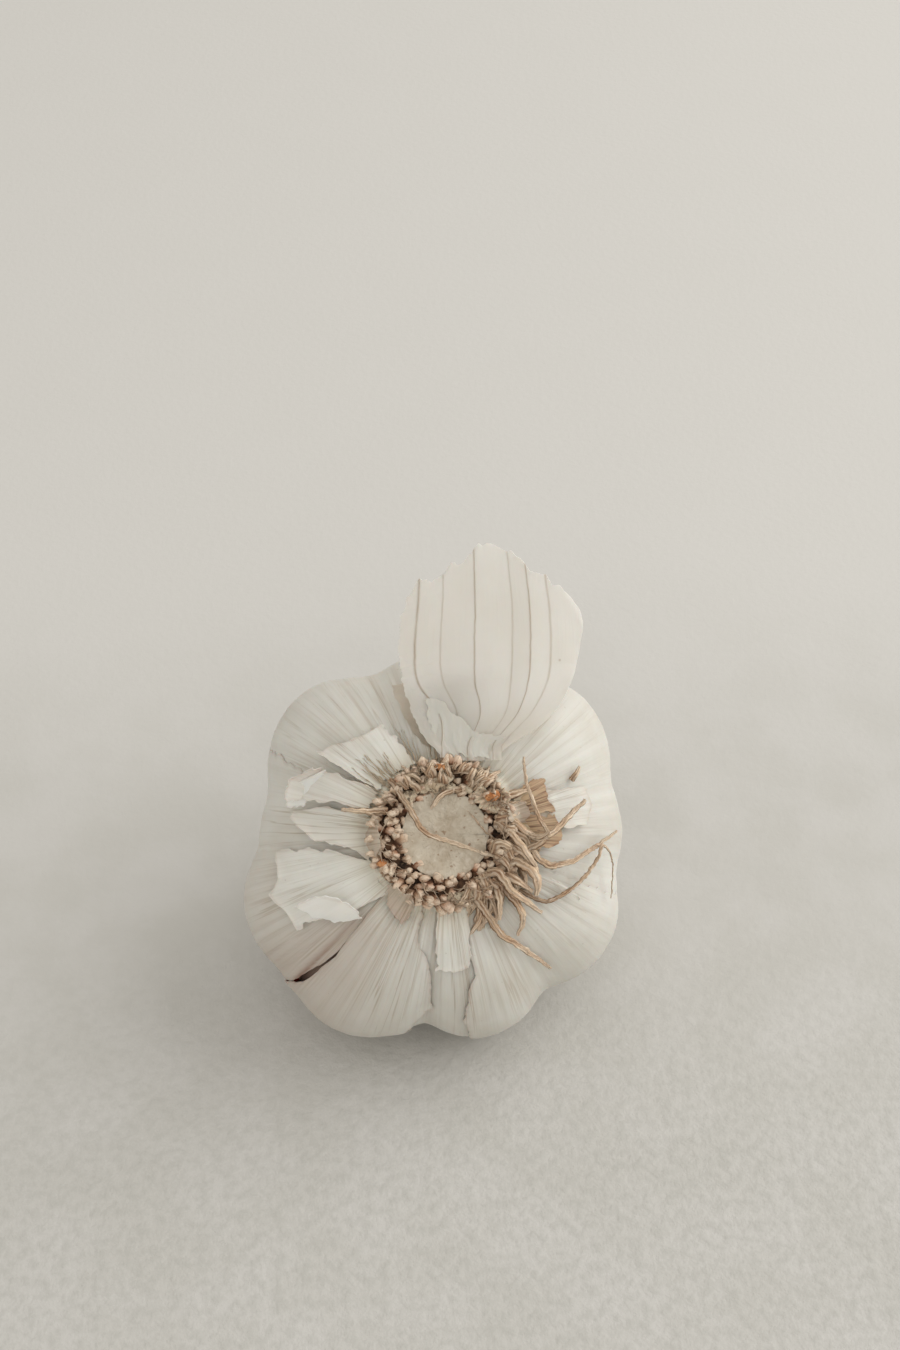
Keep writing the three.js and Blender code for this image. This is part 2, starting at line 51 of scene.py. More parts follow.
head = {
    "lean": 39,  # degrees that the axis leans back
    "plateMiddle": 16.6,  # height of the root plate's middle over the equator
    "meanReach": 27.4,
    "roundBelow": 0.2,
    "lobedAbove": 0.62,
    "valleyPower": 22,
    "equator": 4 / 9,  # its place between the root plate and the neck
    "underRoots": 4,  # how fast the outline runs on inwards past the plate's edge
    # direction in degrees, distance of the round face from the axis, radius of that face
    "cloves": [
        (2, 26.8, 11.4),
        (41, 29.6, 12.6),
        (90, 27.4, 12.4),
        (137, 29.6, 12.4),
        (176, 26.6, 10.6),
        (205, 31.0, 11.0),
        (236, 31.9, 12.2),
        (282, 29.6, 10.6),
        (323, 29.2, 11.6),
    ],
    # share of the reach and height over the equator, from the root plate's edge to the neck
    "outline": [
        (0.39, 15.7),
        (0.55, 15.2),
        (0.76, 12.4),
        (0.93, 6.9),
        (1.0, 0),
        (0.95, -7.2),
        (0.77, -13.6),
        (0.52, -18.2),
        (0.33, -21.4),
        (0.25, -25.6),
    ],
}
ring = {"outer": 10.3, "top": 18.1, "blendIn": 1.2, "blendOut": 1.0}
thin = {"least": 1e-5, "apart": 0.05, "sharp": 50}  # metres, mm and degrees, for sheets

leanAngle = radians(head["lean"])
tipped = np.array(
    [[1, 0, 0], [0, cos(leanAngle), -sin(leanAngle)], [0, sin(leanAngle), cos(leanAngle)]]
)
plateLow, plateHigh = (np.array(corner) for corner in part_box("root_plate"))
headPlace = (plateLow + plateHigh) / 2 - tipped @ [0, 0, head["plateMiddle"] * mm]


def onTable(points):
    placed = np.asarray(points) * mm @ tipped.T + headPlace
    placed[..., 2] = np.maximum(placed[..., 2], 0)  # flattened where the head rests
    return placed


# Noise and small helpers


def smooth(value, low, high):
    share = np.clip((value - low) / (high - low), 0, 1)
    return share * share * (3 - 2 * share)


def noise(x, y, seed):
    table = np.random.default_rng(seed).uniform(-1, 1, (256, 256))
    x, y = np.broadcast_arrays(x, y)
    column = np.floor(x).astype(int)
    row = np.floor(y).astype(int)
    across = smooth(x - column, 0, 1)
    down = smooth(y - row, 0, 1)

    def corner(i, j):
        return table[(column + i) % 256, (row + j) % 256]

    near = corner(0, 0) * (1 - across) + corner(1, 0) * across
    far = corner(0, 1) * (1 - across) + corner(1, 1) * across
    return near * (1 - down) + far * down


def rough(x, y, seed, octaves=3):
    return sum(noise(x * 2**k, y * 2**k, seed + k) / 2**k for k in range(octaves))


def along(values, place):  # linear between evenly spaced values, carried on past both ends
    values = np.asarray(values, float)
    last = len(values) - 1
    at = np.asarray(place, float) * last
    before = np.clip(np.floor(at).astype(int), 0, last - 1)
    share = (at - before)[(...,) + (None,) * (values.ndim - 1)]
    return values[before] * (1 - share) + values[before + 1] * share


def curved(values, place):  # the same with a smooth curve through the values
    values = np.asarray(values, float)
    last = len(values) - 1
    at = np.clip(place, 0, 1) * last
    before = np.clip(np.floor(at).astype(int), 0, last - 1)
    t = (at - before)[(...,) + (None,) * (values.ndim - 1)]
    first, second = values[before], values[before + 1]
    slopeIn = (second - values[np.maximum(before - 1, 0)]) / 2
    slopeOut = (values[np.minimum(before + 2, last)] - first) / 2
    cubic = 2 * first - 2 * second + slopeIn + slopeOut
    square = -3 * first + 3 * second - 2 * slopeIn - slopeOut
    return cubic * t**3 + square * t**2 + slopeIn * t + first


def stacked(*values):  # arrays as the last axis of one array
    return np.stack(np.broadcast_arrays(*values), -1)


def unit(vectors):
    return vectors / np.maximum(np.linalg.norm(vectors, axis=-1, keepdims=True), 1e-12)


# The surface of the head, by direction (radians) and place (0 at the root plate, 1 at the neck)


def skinDistance(angle):
    total = 0
    for direction, reach, bulge in head["cloves"]:
        off = angle - radians(direction)
        centre = reach - bulge
        under = bulge**2 - (centre * np.sin(off)) ** 2
        face = centre * np.cos(off) + np.sqrt(np.maximum(under, 0))
        total = total + np.where((np.cos(off) > 0) & (under > 0), face, 0) ** head["valleyPower"]
    return total ** (1 / head["valleyPower"])


def skinPoint(angle, place):
    angle, place = np.broadcast_arrays(angle, place)
    outline = curved(head["outline"], place)
    inward = np.minimum(place, 0)[..., None]  # on past the plate's edge, under the roots
    outline = outline + inward * (np.array(head["outline"][1]) - head["outline"][0]) * head["underRoots"]
    share, height = outline[..., 0], outline[..., 1]
    lobed = smooth(share, head["roundBelow"], head["lobedAbove"])
    radius = share * (head["meanReach"] * (1 - lobed) + skinDistance(angle) * lobed)
    return np.stack([radius * np.cos(angle), radius * np.sin(angle), height], -1)


def raised(angle, place, lift):
    step = 0.004
    back = np.minimum(place, 1 - step)
    down = skinPoint(angle, back + step) - skinPoint(angle, back)
    across = skinPoint(angle + step, place) - skinPoint(angle - step, place)
    return skinPoint(angle, place) + unit(np.cross(down, across)) * np.asarray(lift)[..., None]


def over(x, y, lift, halvings=22):  # the point raised off the skin or the ring under (x, y)
    x, y, lift = np.broadcast_arrays(x, y, lift)
    distance = np.hypot(x, y)
    angle = np.arctan2(y, x)
    near = np.zeros_like(distance)
    far = np.full_like(distance, head["equator"])
    for _ in range(halvings):
        middle = (near + far) / 2
        point = raised(angle, middle, lift)
        short = np.hypot(point[..., 0], point[..., 1]) < distance
        near = np.where(short, middle, near)
        far = np.where(short, far, middle)
    onSkin = smooth(distance, ring["outer"] - ring["blendIn"], ring["outer"] + ring["blendOut"])
    height = (ring["top"] + lift) * (1 - onSkin) + raised(angle, near, lift)[..., 2] * onSkin
    return np.stack([x, y, height], -1)


# Meshes


def meshFrom(name, points, faces, uv=None, fields=None):
    mesh = bpy.data.meshes.new(name)
    mesh.from_pydata(np.reshape(points, (-1, 3)), [], faces)
    corners = np.empty(len(mesh.loops), int)
    mesh.loops.foreach_get("vertex_index", corners)
    if uv is not None:
        layer = mesh.uv_layers.new(name="surface")
        layer.data.foreach_set("uv", np.reshape(uv, (-1, 2))[corners].astype("f").ravel())
    for field, values in (fields or {}).items():
        made = mesh.attributes.new(field, "FLOAT", "POINT")
        made.data.foreach_set("value", np.ravel(values).astype("f"))
    mesh.shade_smooth()
    return mesh


def gridFaces(rows, columns):
    index = np.arange(rows * columns).reshape(rows, columns)
    corners = [index[:-1, :-1], index[:-1, 1:], index[1:, 1:], index[1:, :-1]]
    return index, np.stack(corners, -1).reshape(-1, 4)


def sheetMesh(name, middle, thickness, uv, fields=None):
    # a thin sheet round a grid of middle points, given upright in mm
    across = unit(np.gradient(middle, axis=1))
    down = unit(np.gradient(middle, axis=0))
    normal = unit(np.cross(across, down))
    outward = np.sum(normal * (unit(middle) + [0, 0, 1]), -1, keepdims=True)
    normal = np.where(outward < 0, -normal, normal)
    top = onTable(middle + normal * thickness / 2)
    bottom = onTable(middle - normal * thickness / 2)
    squeezed = top[..., 2] - bottom[..., 2] < thin["least"]
    atFloor = bottom[..., 2] < thin["least"]
    top[..., 2] += np.where(squeezed & atFloor, thin["apart"] * mm, 0)
    index, faces = gridFaces(*middle.shape[:2])
    count = index.size
    rim = np.concatenate([index[0], index[1:, -1], index[-1, -2::-1], index[-2:0:-1, 0]])
    after = np.roll(rim, -1)
    walls = np.stack([after, rim, rim + count, after + count], -1)
    faces = np.concatenate([faces, faces[:, ::-1] + count, walls])
    first = top.reshape(-1, 3)[faces[0]]
    facing = np.cross(first[1] - first[0], first[3] - first[0])
    if facing @ (top - bottom).reshape(-1, 3)[faces[0, 0]] < 0:
        faces = faces[:, ::-1]
    both = {field: np.tile(np.ravel(values), 2) for field, values in (fields or {}).items()}
    doubled = np.concatenate([uv.reshape(-1, 2), uv.reshape(-1, 2)])
    points = np.concatenate([top.reshape(-1, 3), bottom.reshape(-1, 3)])
    mesh = meshFrom(name, points, faces, doubled, both)
    mesh.set_sharp_from_angle(angle=radians(thin["sharp"]))
    return mesh


def mended(mesh, turnFaces=False):  # no loose points, and faces that look outwards
    bm = bmesh.new()
    bm.from_mesh(mesh)
    loose = [vert for vert in bm.verts if not vert.link_faces]
    bmesh.ops.delete(bm, geom=loose, context="VERTS")
    if turnFaces:
        bmesh.ops.recalc_face_normals(bm, faces=bm.faces)
    bm.to_mesh(mesh)
    bm.free()


def addPiece(name, mesh, material, slot, *nodes):
    piece = bpy.data.objects.new(name, mesh)
    bpy.context.scene.collection.objects.link(piece)
    mesh.materials.clear()
    mesh.materials.append(material)
    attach(piece, "root")
    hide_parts(*nodes)
    return piece


# Nodes written as expressions


class Wire:
    def __init__(self, tree, socket=None):
        self.tree = tree
        self.socket = socket

    def node(self, kind, values, output=0, **settings):
        made = self.tree.nodes.new(kind)
        stops = settings.pop("stops", None)
        for setting, value in settings.items():
            setattr(made, setting, value)
        if stops:
            ramp = made.color_ramp
            while len(ramp.elements) < len(stops):
                ramp.elements.new(0.5)
            for element, (position, colour) in zip(ramp.elements, stops):
                element.position = position
                element.color = (*colour, 1)
        for key, value in values.items():
            if isinstance(value, Wire):
                self.tree.links.new(value.socket, made.inputs[key])
            elif value is not None:
                made.inputs[key].default_value = value
        return Wire(self.tree, made.outputs[output] if made.outputs else None)

    def math(self, operation, *values, clamp=False):
        sockets = dict(enumerate(values))
        return self.node("ShaderNodeMath", sockets, operation=operation, use_clamp=clamp)

    def vector(self, operation, *values, scale=None):
        sockets = {**dict(enumerate(values)), "Scale": scale}
        return self.node("ShaderNodeVectorMath", sockets, operation=operation)

    def attribute(self, name, output=2):
        return self.node("ShaderNodeAttribute", {}, output, attribute_name=name)

    def along(self, output):  # one of a vector's three parts
        return self.node("ShaderNodeSeparateXYZ", {"Vector": self}, output)

    def bump(self, height, strength, distance):
        values = {"Height": height, "Strength": strength, "Distance": distance}
        return self.node("ShaderNodeBump", values)

    def onSurface(self):
        return self.node("ShaderNodeUVMap", {}, uv_map="surface")

    def inSpace(self):
        return self.node("ShaderNodeTexCoord", {}, 3)

    def __add__(self, other):
        return self.math("ADD", self, other)

    def __radd__(self, other):
        return self.math("ADD", other, self)

    def __sub__(self, other):
        return self.math("SUBTRACT", self, other)

    def __rsub__(self, other):
        return self.math("SUBTRACT", other, self)

    def __mul__(self, other):
        return self.math("MULTIPLY", self, other)

    def __rmul__(self, other):
        return self.math("MULTIPLY", other, self)

    def __truediv__(self, other):
        return self.math("DIVIDE", self, other)

    def __pow__(self, other):
        return self.math("POWER", self, other)

    def size(self):
        return self.math("ABSOLUTE", self)

    def step(self, low, high):  # 0 below low, 1 above high, smooth between
        values = {"Value": self, "From Min": low, "From Max": high}
        return self.node("ShaderNodeMapRange", values, interpolation_type="SMOOTHSTEP")

    def mix(self, first, second, blend="MIX"):  # colours, by this value
        values = {0: self, 6: first, 7: second}
        return self.node("ShaderNodeMix", values, 2, data_type="RGBA", blend_type=blend)

    def grain(self, scale, detail=3, stretch=(1, 1, 1), place=(0, 0, 0), roughness=0.55):
        values = {"Vector": self, "Scale": stretch, "Location": place}
        spread = self.node("ShaderNodeMapping", values)
        values = {"Vector": spread, "Scale": scale, "Detail": detail, "Roughness": roughness}
        return self.node("ShaderNodeTexNoise", values)


def tone(red, green, blue):  # an sRGB colour, 0 to 255, as the linear one that sockets take
    channels = [value / 255 for value in (red, green, blue)]
    linear = [c / 12.92 if c <= 0.04045 else ((c + 0.055) / 1.055) ** 2.4 for c in channels]
    return (*linear, 1)


def newMaterial(name):
    material = bpy.data.materials.new(name)
    material.use_nodes = True
    material.node_tree.nodes.clear()
    return material, Wire(material.node_tree)


def matte(colour, normal, roughness=0.9):
    return {
        "Base Color": colour,
        "Roughness": roughness,
        "Normal": normal,
        "Specular IOR Level": 0.2,
    }


def finishMaterial(wire, surface, glow=0.0, glowColour=(1, 1, 1, 1)):
    # surface holds the sockets of the main shader, and glow is how much light passes through
    shader = wire.node("ShaderNodeBsdfPrincipled", surface)
    if glow:
        values = {"Color": glowColour, "Normal": surface.get("Normal")}
        through = wire.node("ShaderNodeBsdfTranslucent", values)
        shader = wire.node("ShaderNodeMixShader", {0: glow, 1: shader, 2: through})
    wire.node("ShaderNodeOutputMaterial", {"Surface": shader})


# Materials


def paperyMaterial(name, look):
    # dry skin with fine lines that run from the roots to the neck
    material, wire = newMaterial(name)
    surface = wire.onSurface()
    place = wire.inSpace()
    crease = wire.attribute("crease")
    stain = wire.attribute("stain")
    bare = wire.attribute("bare")
    broad = surface.grain(1, 3, (look["lines"] * 0.2, 1.0, 1), (3.1, 0.7, 0))
    lines = surface.grain(1, 3, (look["lines"], 1.1, 1), roughness=0.6)
    threads = surface.grain(1, 3, (look["lines"] * 3.1, 1.8, 1), (0.3, 0.2, 0), 0.7)
    cloudy = place.grain(95, 4)
    speck = place.grain(1900, 2)
    v = surface.along(1)
    x = place.along(0)
    # lines strongest near both ends, and faded on the right, lit side as painted light
    ends = (1.1 - v.step(0.2, 0.46) + v.step(0.7, 0.95)) * (1 - x.step(0.006, 0.026) * 0.6)
    hairline = 1 - (lines - 0.5).size().step(0.0, 0.03)
    dark = hairline * broad.step(0.42, 0.62) * look["lineDepth"] * ends
    colour = cloudy.step(0.35, 0.7).mix(look["base"], look["second"])
    # bare clove showing through; on the front skin, painted shade
    colour = (bare * 0.75).mix(colour, look["bare"])
    colour = (broad.step(0.45, 0.8) * 0.3 * ends).mix(colour, look["shade"])
    colour = ((1 - v.step(-0.02, 0.12)) * look["yellowing"]).mix(colour, look["old"])
    colour = (dark * 0.6).mix(colour, look["line"])
    fine = threads.step(0.45, 0.75) * (0.3 + bare * 0.3) * look["lineDepth"] * ends
    colour = fine.mix(colour, look["line"])
    fromRoots = threads.step(0.52, 0.64) * (1 - v.step(0.0, 0.18)) * look["yellowing"]
    colour = (fromRoots * 0.55).mix(colour, look["rootLine"])
    # painted shade in the low places between the raised folds, read from the crease attribute
    colour = (crease * look["creaseShadeDepth"]).mix(colour, look["line"])
    colour = stain.mix(colour, look["stain"])
    colour = (speck.step(0.7, 0.78) * 0.35).mix(colour, look["line"])
    height = lines * 0.6 + threads * 0.4 + place.grain(700, 2) * 0.25
    values = {
        "Base Color": colour,
        "Roughness": 0.58 + lines * 0.2,
        "Normal": wire.bump(height, look["bump"], 0.0002),
        "Subsurface Weight": look["soft"],
        "Subsurface Scale": 0.0015,
        "Specular IOR Level": 0.28,
    }
    finishMaterial(wire, values, look["glow"], look["base"])
    return material


skinLook = {
    "lines": 96,  # lines round the head
    "base": tone(222, 218, 210),
    "second": tone(214, 209, 199),
    "shade": tone(196, 188, 176),
    "old": tone(216, 205, 182),
    "yellowing": 0.55,
    "line": tone(160, 142, 118),
    "rootLine": tone(158, 130, 98),
    "bare": tone(199, 187, 176),
    "stain": tone(146, 116, 100),
    "lineDepth": 0.95,
    "creaseShadeDepth": 0.26,
    "bump": 0.32,
    "soft": 0.08,
    "glow": 0.1,
}
flakeLook = {**skinLook, "base": tone(234, 230, 222), "second": tone(226, 221, 212), "lineDepth": 0.8}
# pinkish-brown clove skin, darkened further as painted shade for the slits that it shows through
cloveLook = {
    **skinLook,
    "base": tone(186, 162, 146),
    "second": tone(172, 146, 130),
    "shade": tone(146, 112, 96),
    "line": tone(110, 76, 62),
    "lineDepth": 1.0,
    "yellowing": 0.3,
    "glow": 0.0,
}
skinMaterial = paperyMaterial("paperySkin", skinLook)
flakeMaterial = paperyMaterial("tornFlake", flakeLook)
cloveMaterial = paperyMaterial("cloveSkin", cloveLook)

# nearly white: the folds' paler underside, painted lighter still as the light that they catch
litFoldLook = {
    **flakeLook,
    "base": tone(253, 252, 248),
    "second": tone(250, 248, 243),
    "shade": tone(240, 236, 228),
    "lineDepth": 0.15,
    "yellowing": 0.1,
    "glow": 0.3,
}
litFoldMaterial = paperyMaterial("paintedLightFold", litFoldLook)
scrapLook = {**flakeLook, "base": tone(230, 226, 217), "lineDepth": 0.5, "glow": 0.3}
scrapMaterial = paperyMaterial("footScrap", scrapLook)

flapLook = {
    "base": tone(245, 243, 239),
    "second": tone(238, 235, 229),
    "vein": tone(156, 136, 108),
    "edge": tone(218, 210, 196),
    "veins": [0.1, 0.255, 0.455, 0.68, 0.79, 0.915],  # across the fan, from 0 to 1
    "veinWidth": 0.0085,
    "spot": (0.97, 0.42),  # a brown speck, across the fan and up it
    "spotTone": tone(150, 116, 84),
}


def flapMaterialOf(name, look):
    material, wire = newMaterial(name)
    surface = wire.onSurface()
    place = wire.inSpace()
    u = surface.along(0)
    v = surface.along(1)
    wander = surface.grain(1, 3, (3.2, 5, 1), (0.4, 0.1, 0)) - 0.5
    veins = 0.0
    for i, vein in enumerate(look["veins"]):
        width = look["veinWidth"] * (1.4 if i in (0, 5) else 1.0)  # the two at the sides
        off = (u + wander * 0.022 - vein).size()
        strength = 0.95 if i % 2 == 0 else 0.6
        veins = (1 - off.step(0.0, width)) * strength + veins
    veins = veins * (0.45 + surface.grain(1, 3, (30, 9, 1)) * 0.9)
    cloudy = place.grain(120, 4)
    fine = surface.grain(1, 4, (60, 2.5, 1), roughness=0.7)
    colour = cloudy.step(0.35, 0.7).mix(look["base"], look["second"])
    colour = (fine.step(0.55, 0.8) * 0.25).mix(colour, look["edge"])
    base = 1 - v.step(0.0, 0.3)
    colour = (base * 0.45).mix(colour, look["edge"])
    spotAcross = (u - look["spot"][0]).size()
    spotUp = (v - look["spot"][1]).size()
    off = spotAcross * spotAcross * 560 + spotUp * spotUp * 900
    colour = ((1 - off.step(0.0, 0.06)) * 0.7).mix(colour, look["spotTone"])
    colour = veins.mix(colour, look["vein"])
    height = fine * 0.5 + veins * 0.8 + place.grain(500, 2) * 0.3
    values = {
        "Base Color": colour,
        "Roughness": 0.36 + cloudy * 0.2,
        "Normal": wire.bump(height, 0.35, 0.0002),
        "Subsurface Weight": 0.1,
        "Subsurface Scale": 0.001,
        "Specular IOR Level": 0.45,
    }
    finishMaterial(wire, values, 0.6, look["base"])
    return material


flapMaterial = flapMaterialOf("flapSkin", flapLook)
# darker than the flap: painted shade between the flap and the layer behind
shadedBackLook = {
    **flapLook,
    "base": tone(228, 222, 212),
    "second": tone(216, 208, 195),
    "edge": tone(176, 160, 136),
}
shadedFlapBackMaterial = flapMaterialOf("flapBack", shadedBackLook)


def rootMaterialOf(name, look):
    # tan and fibrous; paler towards the broken tips, partly painted light on their tops; darker down
    # between the stubs, mostly painted shade
    material, wire = newMaterial(name)
    place = wire.inSpace()
    tip = wire.attribute("tip")
    tint = wire.attribute("tint")
    patchy = place.grain(420, 4)
    fibres = place.grain(1700, 3)
    grooveShade = wire.attribute("groove")
    onward = wire.node("ShaderNodeCombineXYZ", {"X": tint * 9, "Z": wire.attribute("reach") * 0.3})
    spun = wire.vector("MULTIPLY_ADD", wire.attribute("ply", 1), (1.5, 1.5, 1), onward)
    stripes = spun.grain(1, 3, roughness=0.65)
    colour = patchy.step(0.35, 0.68).mix(look["base"], look["second"])
    colour = (stripes.step(0.5, 0.64) * 0.85).mix(colour, look["tip"])
    colour = ((1 - stripes.step(0.36, 0.48)) * 0.85).mix(colour, look["furrow"])
    # painted shade down in the grooves along each strand
    colour = (grooveShade * 0.5).mix(colour, look["furrow"])
    colour = (tint.step(0.2, 0.9) * 0.7 * patchy.step(0.38, 0.6)).mix(colour, look["rust"])
    # pale broken tips, with painted light on their tops
    colour = (tip.step(0.35, 0.95) * look["paleLitTipShare"]).mix(colour, look["tip"])
    # painted shade down between the stubs, over their brown feet
    colour = ((1 - tip.step(0.1, 0.62)) * look["footShadeShare"]).mix(colour, look["foot"])
    colour = (fibres.step(0.58, 0.72) * 0.3).mix(colour, look["foot"])
    height = fibres * 0.5 + patchy * 0.8 + stripes * 1.6
    values = {
        "Base Color": colour,
        "Roughness": 0.75 + fibres * 0.2,
        "Normal": wire.bump(height, 0.8, 0.0004),
        "Specular IOR Level": 0.25,
    }
    finishMaterial(wire, values)
    return material


rootLook = {
    "base": tone(205, 167, 134),
    "second": tone(224, 197, 166),
    "rust": tone(182, 112, 74),
    "furrow": tone(136, 90, 64),
    "tip": tone(246, 230, 208),
    # the near-black feet: mostly painted shade between the stubs
    "foot": tone(76, 46, 31),
    "paleLitTipShare": 0.65,
    "footShadeShare": 0.95,
}
strandLook = {
    **rootLook,
    "base": tone(214, 180, 146),
    "second": tone(230, 206, 174),
    "rust": tone(186, 122, 88),
    "furrow": tone(128, 88, 62),
    "paleLitTipShare": 0.3,
    "footShadeShare": 0.35,
}
stubMaterial = rootMaterialOf("rootStub", rootLook)
strandMaterial = rootMaterialOf("rootStrand", strandLook)
fibreLook = {
    **rootLook,
    "base": tone(226, 205, 172),
    "second": tone(232, 216, 188),
    "rust": tone(204, 168, 126),
    "furrow": tone(200, 170, 132),
    "paleLitTipShare": 0.6,
    "footShadeShare": 0,
}
fibreMaterial = rootMaterialOf("skinFibre", fibreLook)


def shadedCrustMaterialOf():
    # the rough brown ring that the stubs stand in, painted near-black as the shade down between them
    material, wire = newMaterial("rootCrustShaded")
    place = wire.inSpace()
    lumps = place.grain(520, 5, roughness=0.65)
    grit = place.grain(1500, 3)
    # near-black brown: painted shade between the stubs over the crust's own brown
    colour = lumps.step(0.35, 0.62).mix(tone(36, 26, 20), tone(92, 68, 50))
    colour = (grit.step(0.58, 0.78) * 0.3).mix(colour, tone(190, 164, 132))
    height = lumps + grit * 0.6
    finishMaterial(wire, matte(colour, wire.bump(height, 0.8, 0.0005)))
    return material


shadedCrustMaterial = shadedCrustMaterialOf()


def plateMaterialOf():
    # pale, corky, with fibres that run in from the rim
    material, wire = newMaterial("rootPlate")
    place = wire.inSpace()
    surface = wire.onSurface()
    fibres = surface.grain(1, 4, (46, 1.6, 1), roughness=0.7)
    felt = place.grain(900, 4, roughness=0.7)
    patchy = place.grain(260, 3)
    colour = patchy.step(0.35, 0.65).mix(tone(206, 196, 178), tone(190, 177, 157))
    rim = surface.along(1)
    colour = (fibres.step(0.5, 0.75) * 0.5 * rim.step(0.25, 0.8)).mix(colour, tone(170, 152, 128))
    colour = (felt.step(0.5, 0.7) * 0.5).mix(colour, tone(222, 213, 198))
    colour = ((1 - felt.step(0.3, 0.45)) * 0.4).mix(colour, tone(160, 142, 118))
    crumbs = place.grain(1300, 1)
    colour = (crumbs.step(0.68, 0.74) * 0.6).mix(colour, tone(140, 106, 76))
    height = felt + fibres * rim * 0.6
    finishMaterial(wire, matte(colour, wire.bump(height, 0.8, 0.0005), 0.92))
    return material


plateMaterial = plateMaterialOf()
print("materials made")


# The tears between the skins: directions in degrees, evenly spaced from the root plate to the neck

tears = {
    "upperLeft": ([153, 154, 152, 151, 153, 152], 21),
    "front": ([249, 250, 261, 263, 256, 256, 257, 258, 258, 259, 260], 22),
    "lower": ([284, 283, 280, 276, 276, 280, 283, 283, 282, 282, 282], 23),
    "right": ([338, 337, 339, 338, 337, 338], 24),
    "upperRight": ([425, 426, 424, 425, 426], 25),
    "leftOfGap": ([222, 223.6, 224.7, 222.3, 220.9, 220.1, 219.8, 219.6, 219.2, 218.6, 218], 26),
    "rightOfGap": ([222, 224, 226.1, 224.3, 221.6, 220.2, 219.8, 219.6, 219.2, 218.6, 218], 26),
}
skins = {
    # the tear at each side, whole turns added to the second one in degrees, and for the two edges: how far
    # the sheet reaches past the tear, how high it lies there and how ragged it is, in mm
    "skin_left": {
        "from": "upperLeft",
        "to": "leftOfGap",
        "past": (0.6, 0.15),
        "edge": (0.35, 0.6),
        "torn": (0.5, 0.12),
    },
    "skin_front": {
        "from": "rightOfGap",
        "to": "front",
        "past": (0.1, 0.7),
        "edge": (0.85, 0.75),
        "torn": (0.12, 0.5),
    },
    "skin_lower": {"from": "front", "to": "lower", "past": (0.8, 0.8), "edge": (0.12, 0.12)},
    "skin_lower_right": {"from": "lower", "to": "right", "past": (0.6, 0.6), "edge": (0.7, 0.3)},
    "skin_right": {"from": "right", "to": "upperRight", "past": (0.8, 0.6), "edge": (0.1, 0.6)},
    "skin_top": {
        "from": "upperRight",
        "to": "upperLeft",
        "turns": 360,
        "past": (0.8, 0.8),
        "edge": (0.1, 0.15),
    },
}
sheetSize = {
    "spacing": 0.32,  # mm between the mesh's points
    "thickness": 0.2,
    "rows": 170,
    "lift": 0.42,
    "from": -0.07,  # a little under the roots
    "edgeWidth": 3.2,  # mm over which a sheet rises or sinks to its edge
    "rimWidth": 0.35,
    "atRoots": 0.9,  # more lift there
    "sunk": 0.12,
}
skinRidges = [
    # seed, how often round the head and down it, height in mm, share that is left midway
    (5, 118, 2.4, 0.13, 0.1),
    (15, 250, 3.5, 0.06, 0.3),
]
skinUneven = (25, 30, 3.5, 0.12)  # seed, how often round and down, height in mm
tearJags = {"count": 13, "size": 0.7}  # degrees

# brown streaks on the bare clove: direction, width, depth, and from which place to which
bareStreaks = [
    (204.5, 0.6, 0.2, 0.25, 0.4),
    (211.4, 0.5, 0.45, 0.26, 0.44),
    (214.2, 0.35, 0.2, 0.2, 0.4),
    (217.0, 0.4, 0.2, 0.14, 0.36),
    (221.4, 1.1, 0.7, 0.06, 0.32),
    (222.4, 0.4, 0.35, 0.14, 0.4),
]


def seededJags(seed, count, size, factor=1664525, step=1013904223, wrap=2**32):
    state = seed
    jags = []
    for _ in range(count):
        state = (state * factor + step) % wrap
        jags.append(-size + 2 * size * state / wrap)
    return jags


def tearAt(name, place):
    directions, seed = tears[name]
    jags = seededJags(seed, tearJags["count"], tearJags["size"])
    return along(directions, place) + along(jags, place)


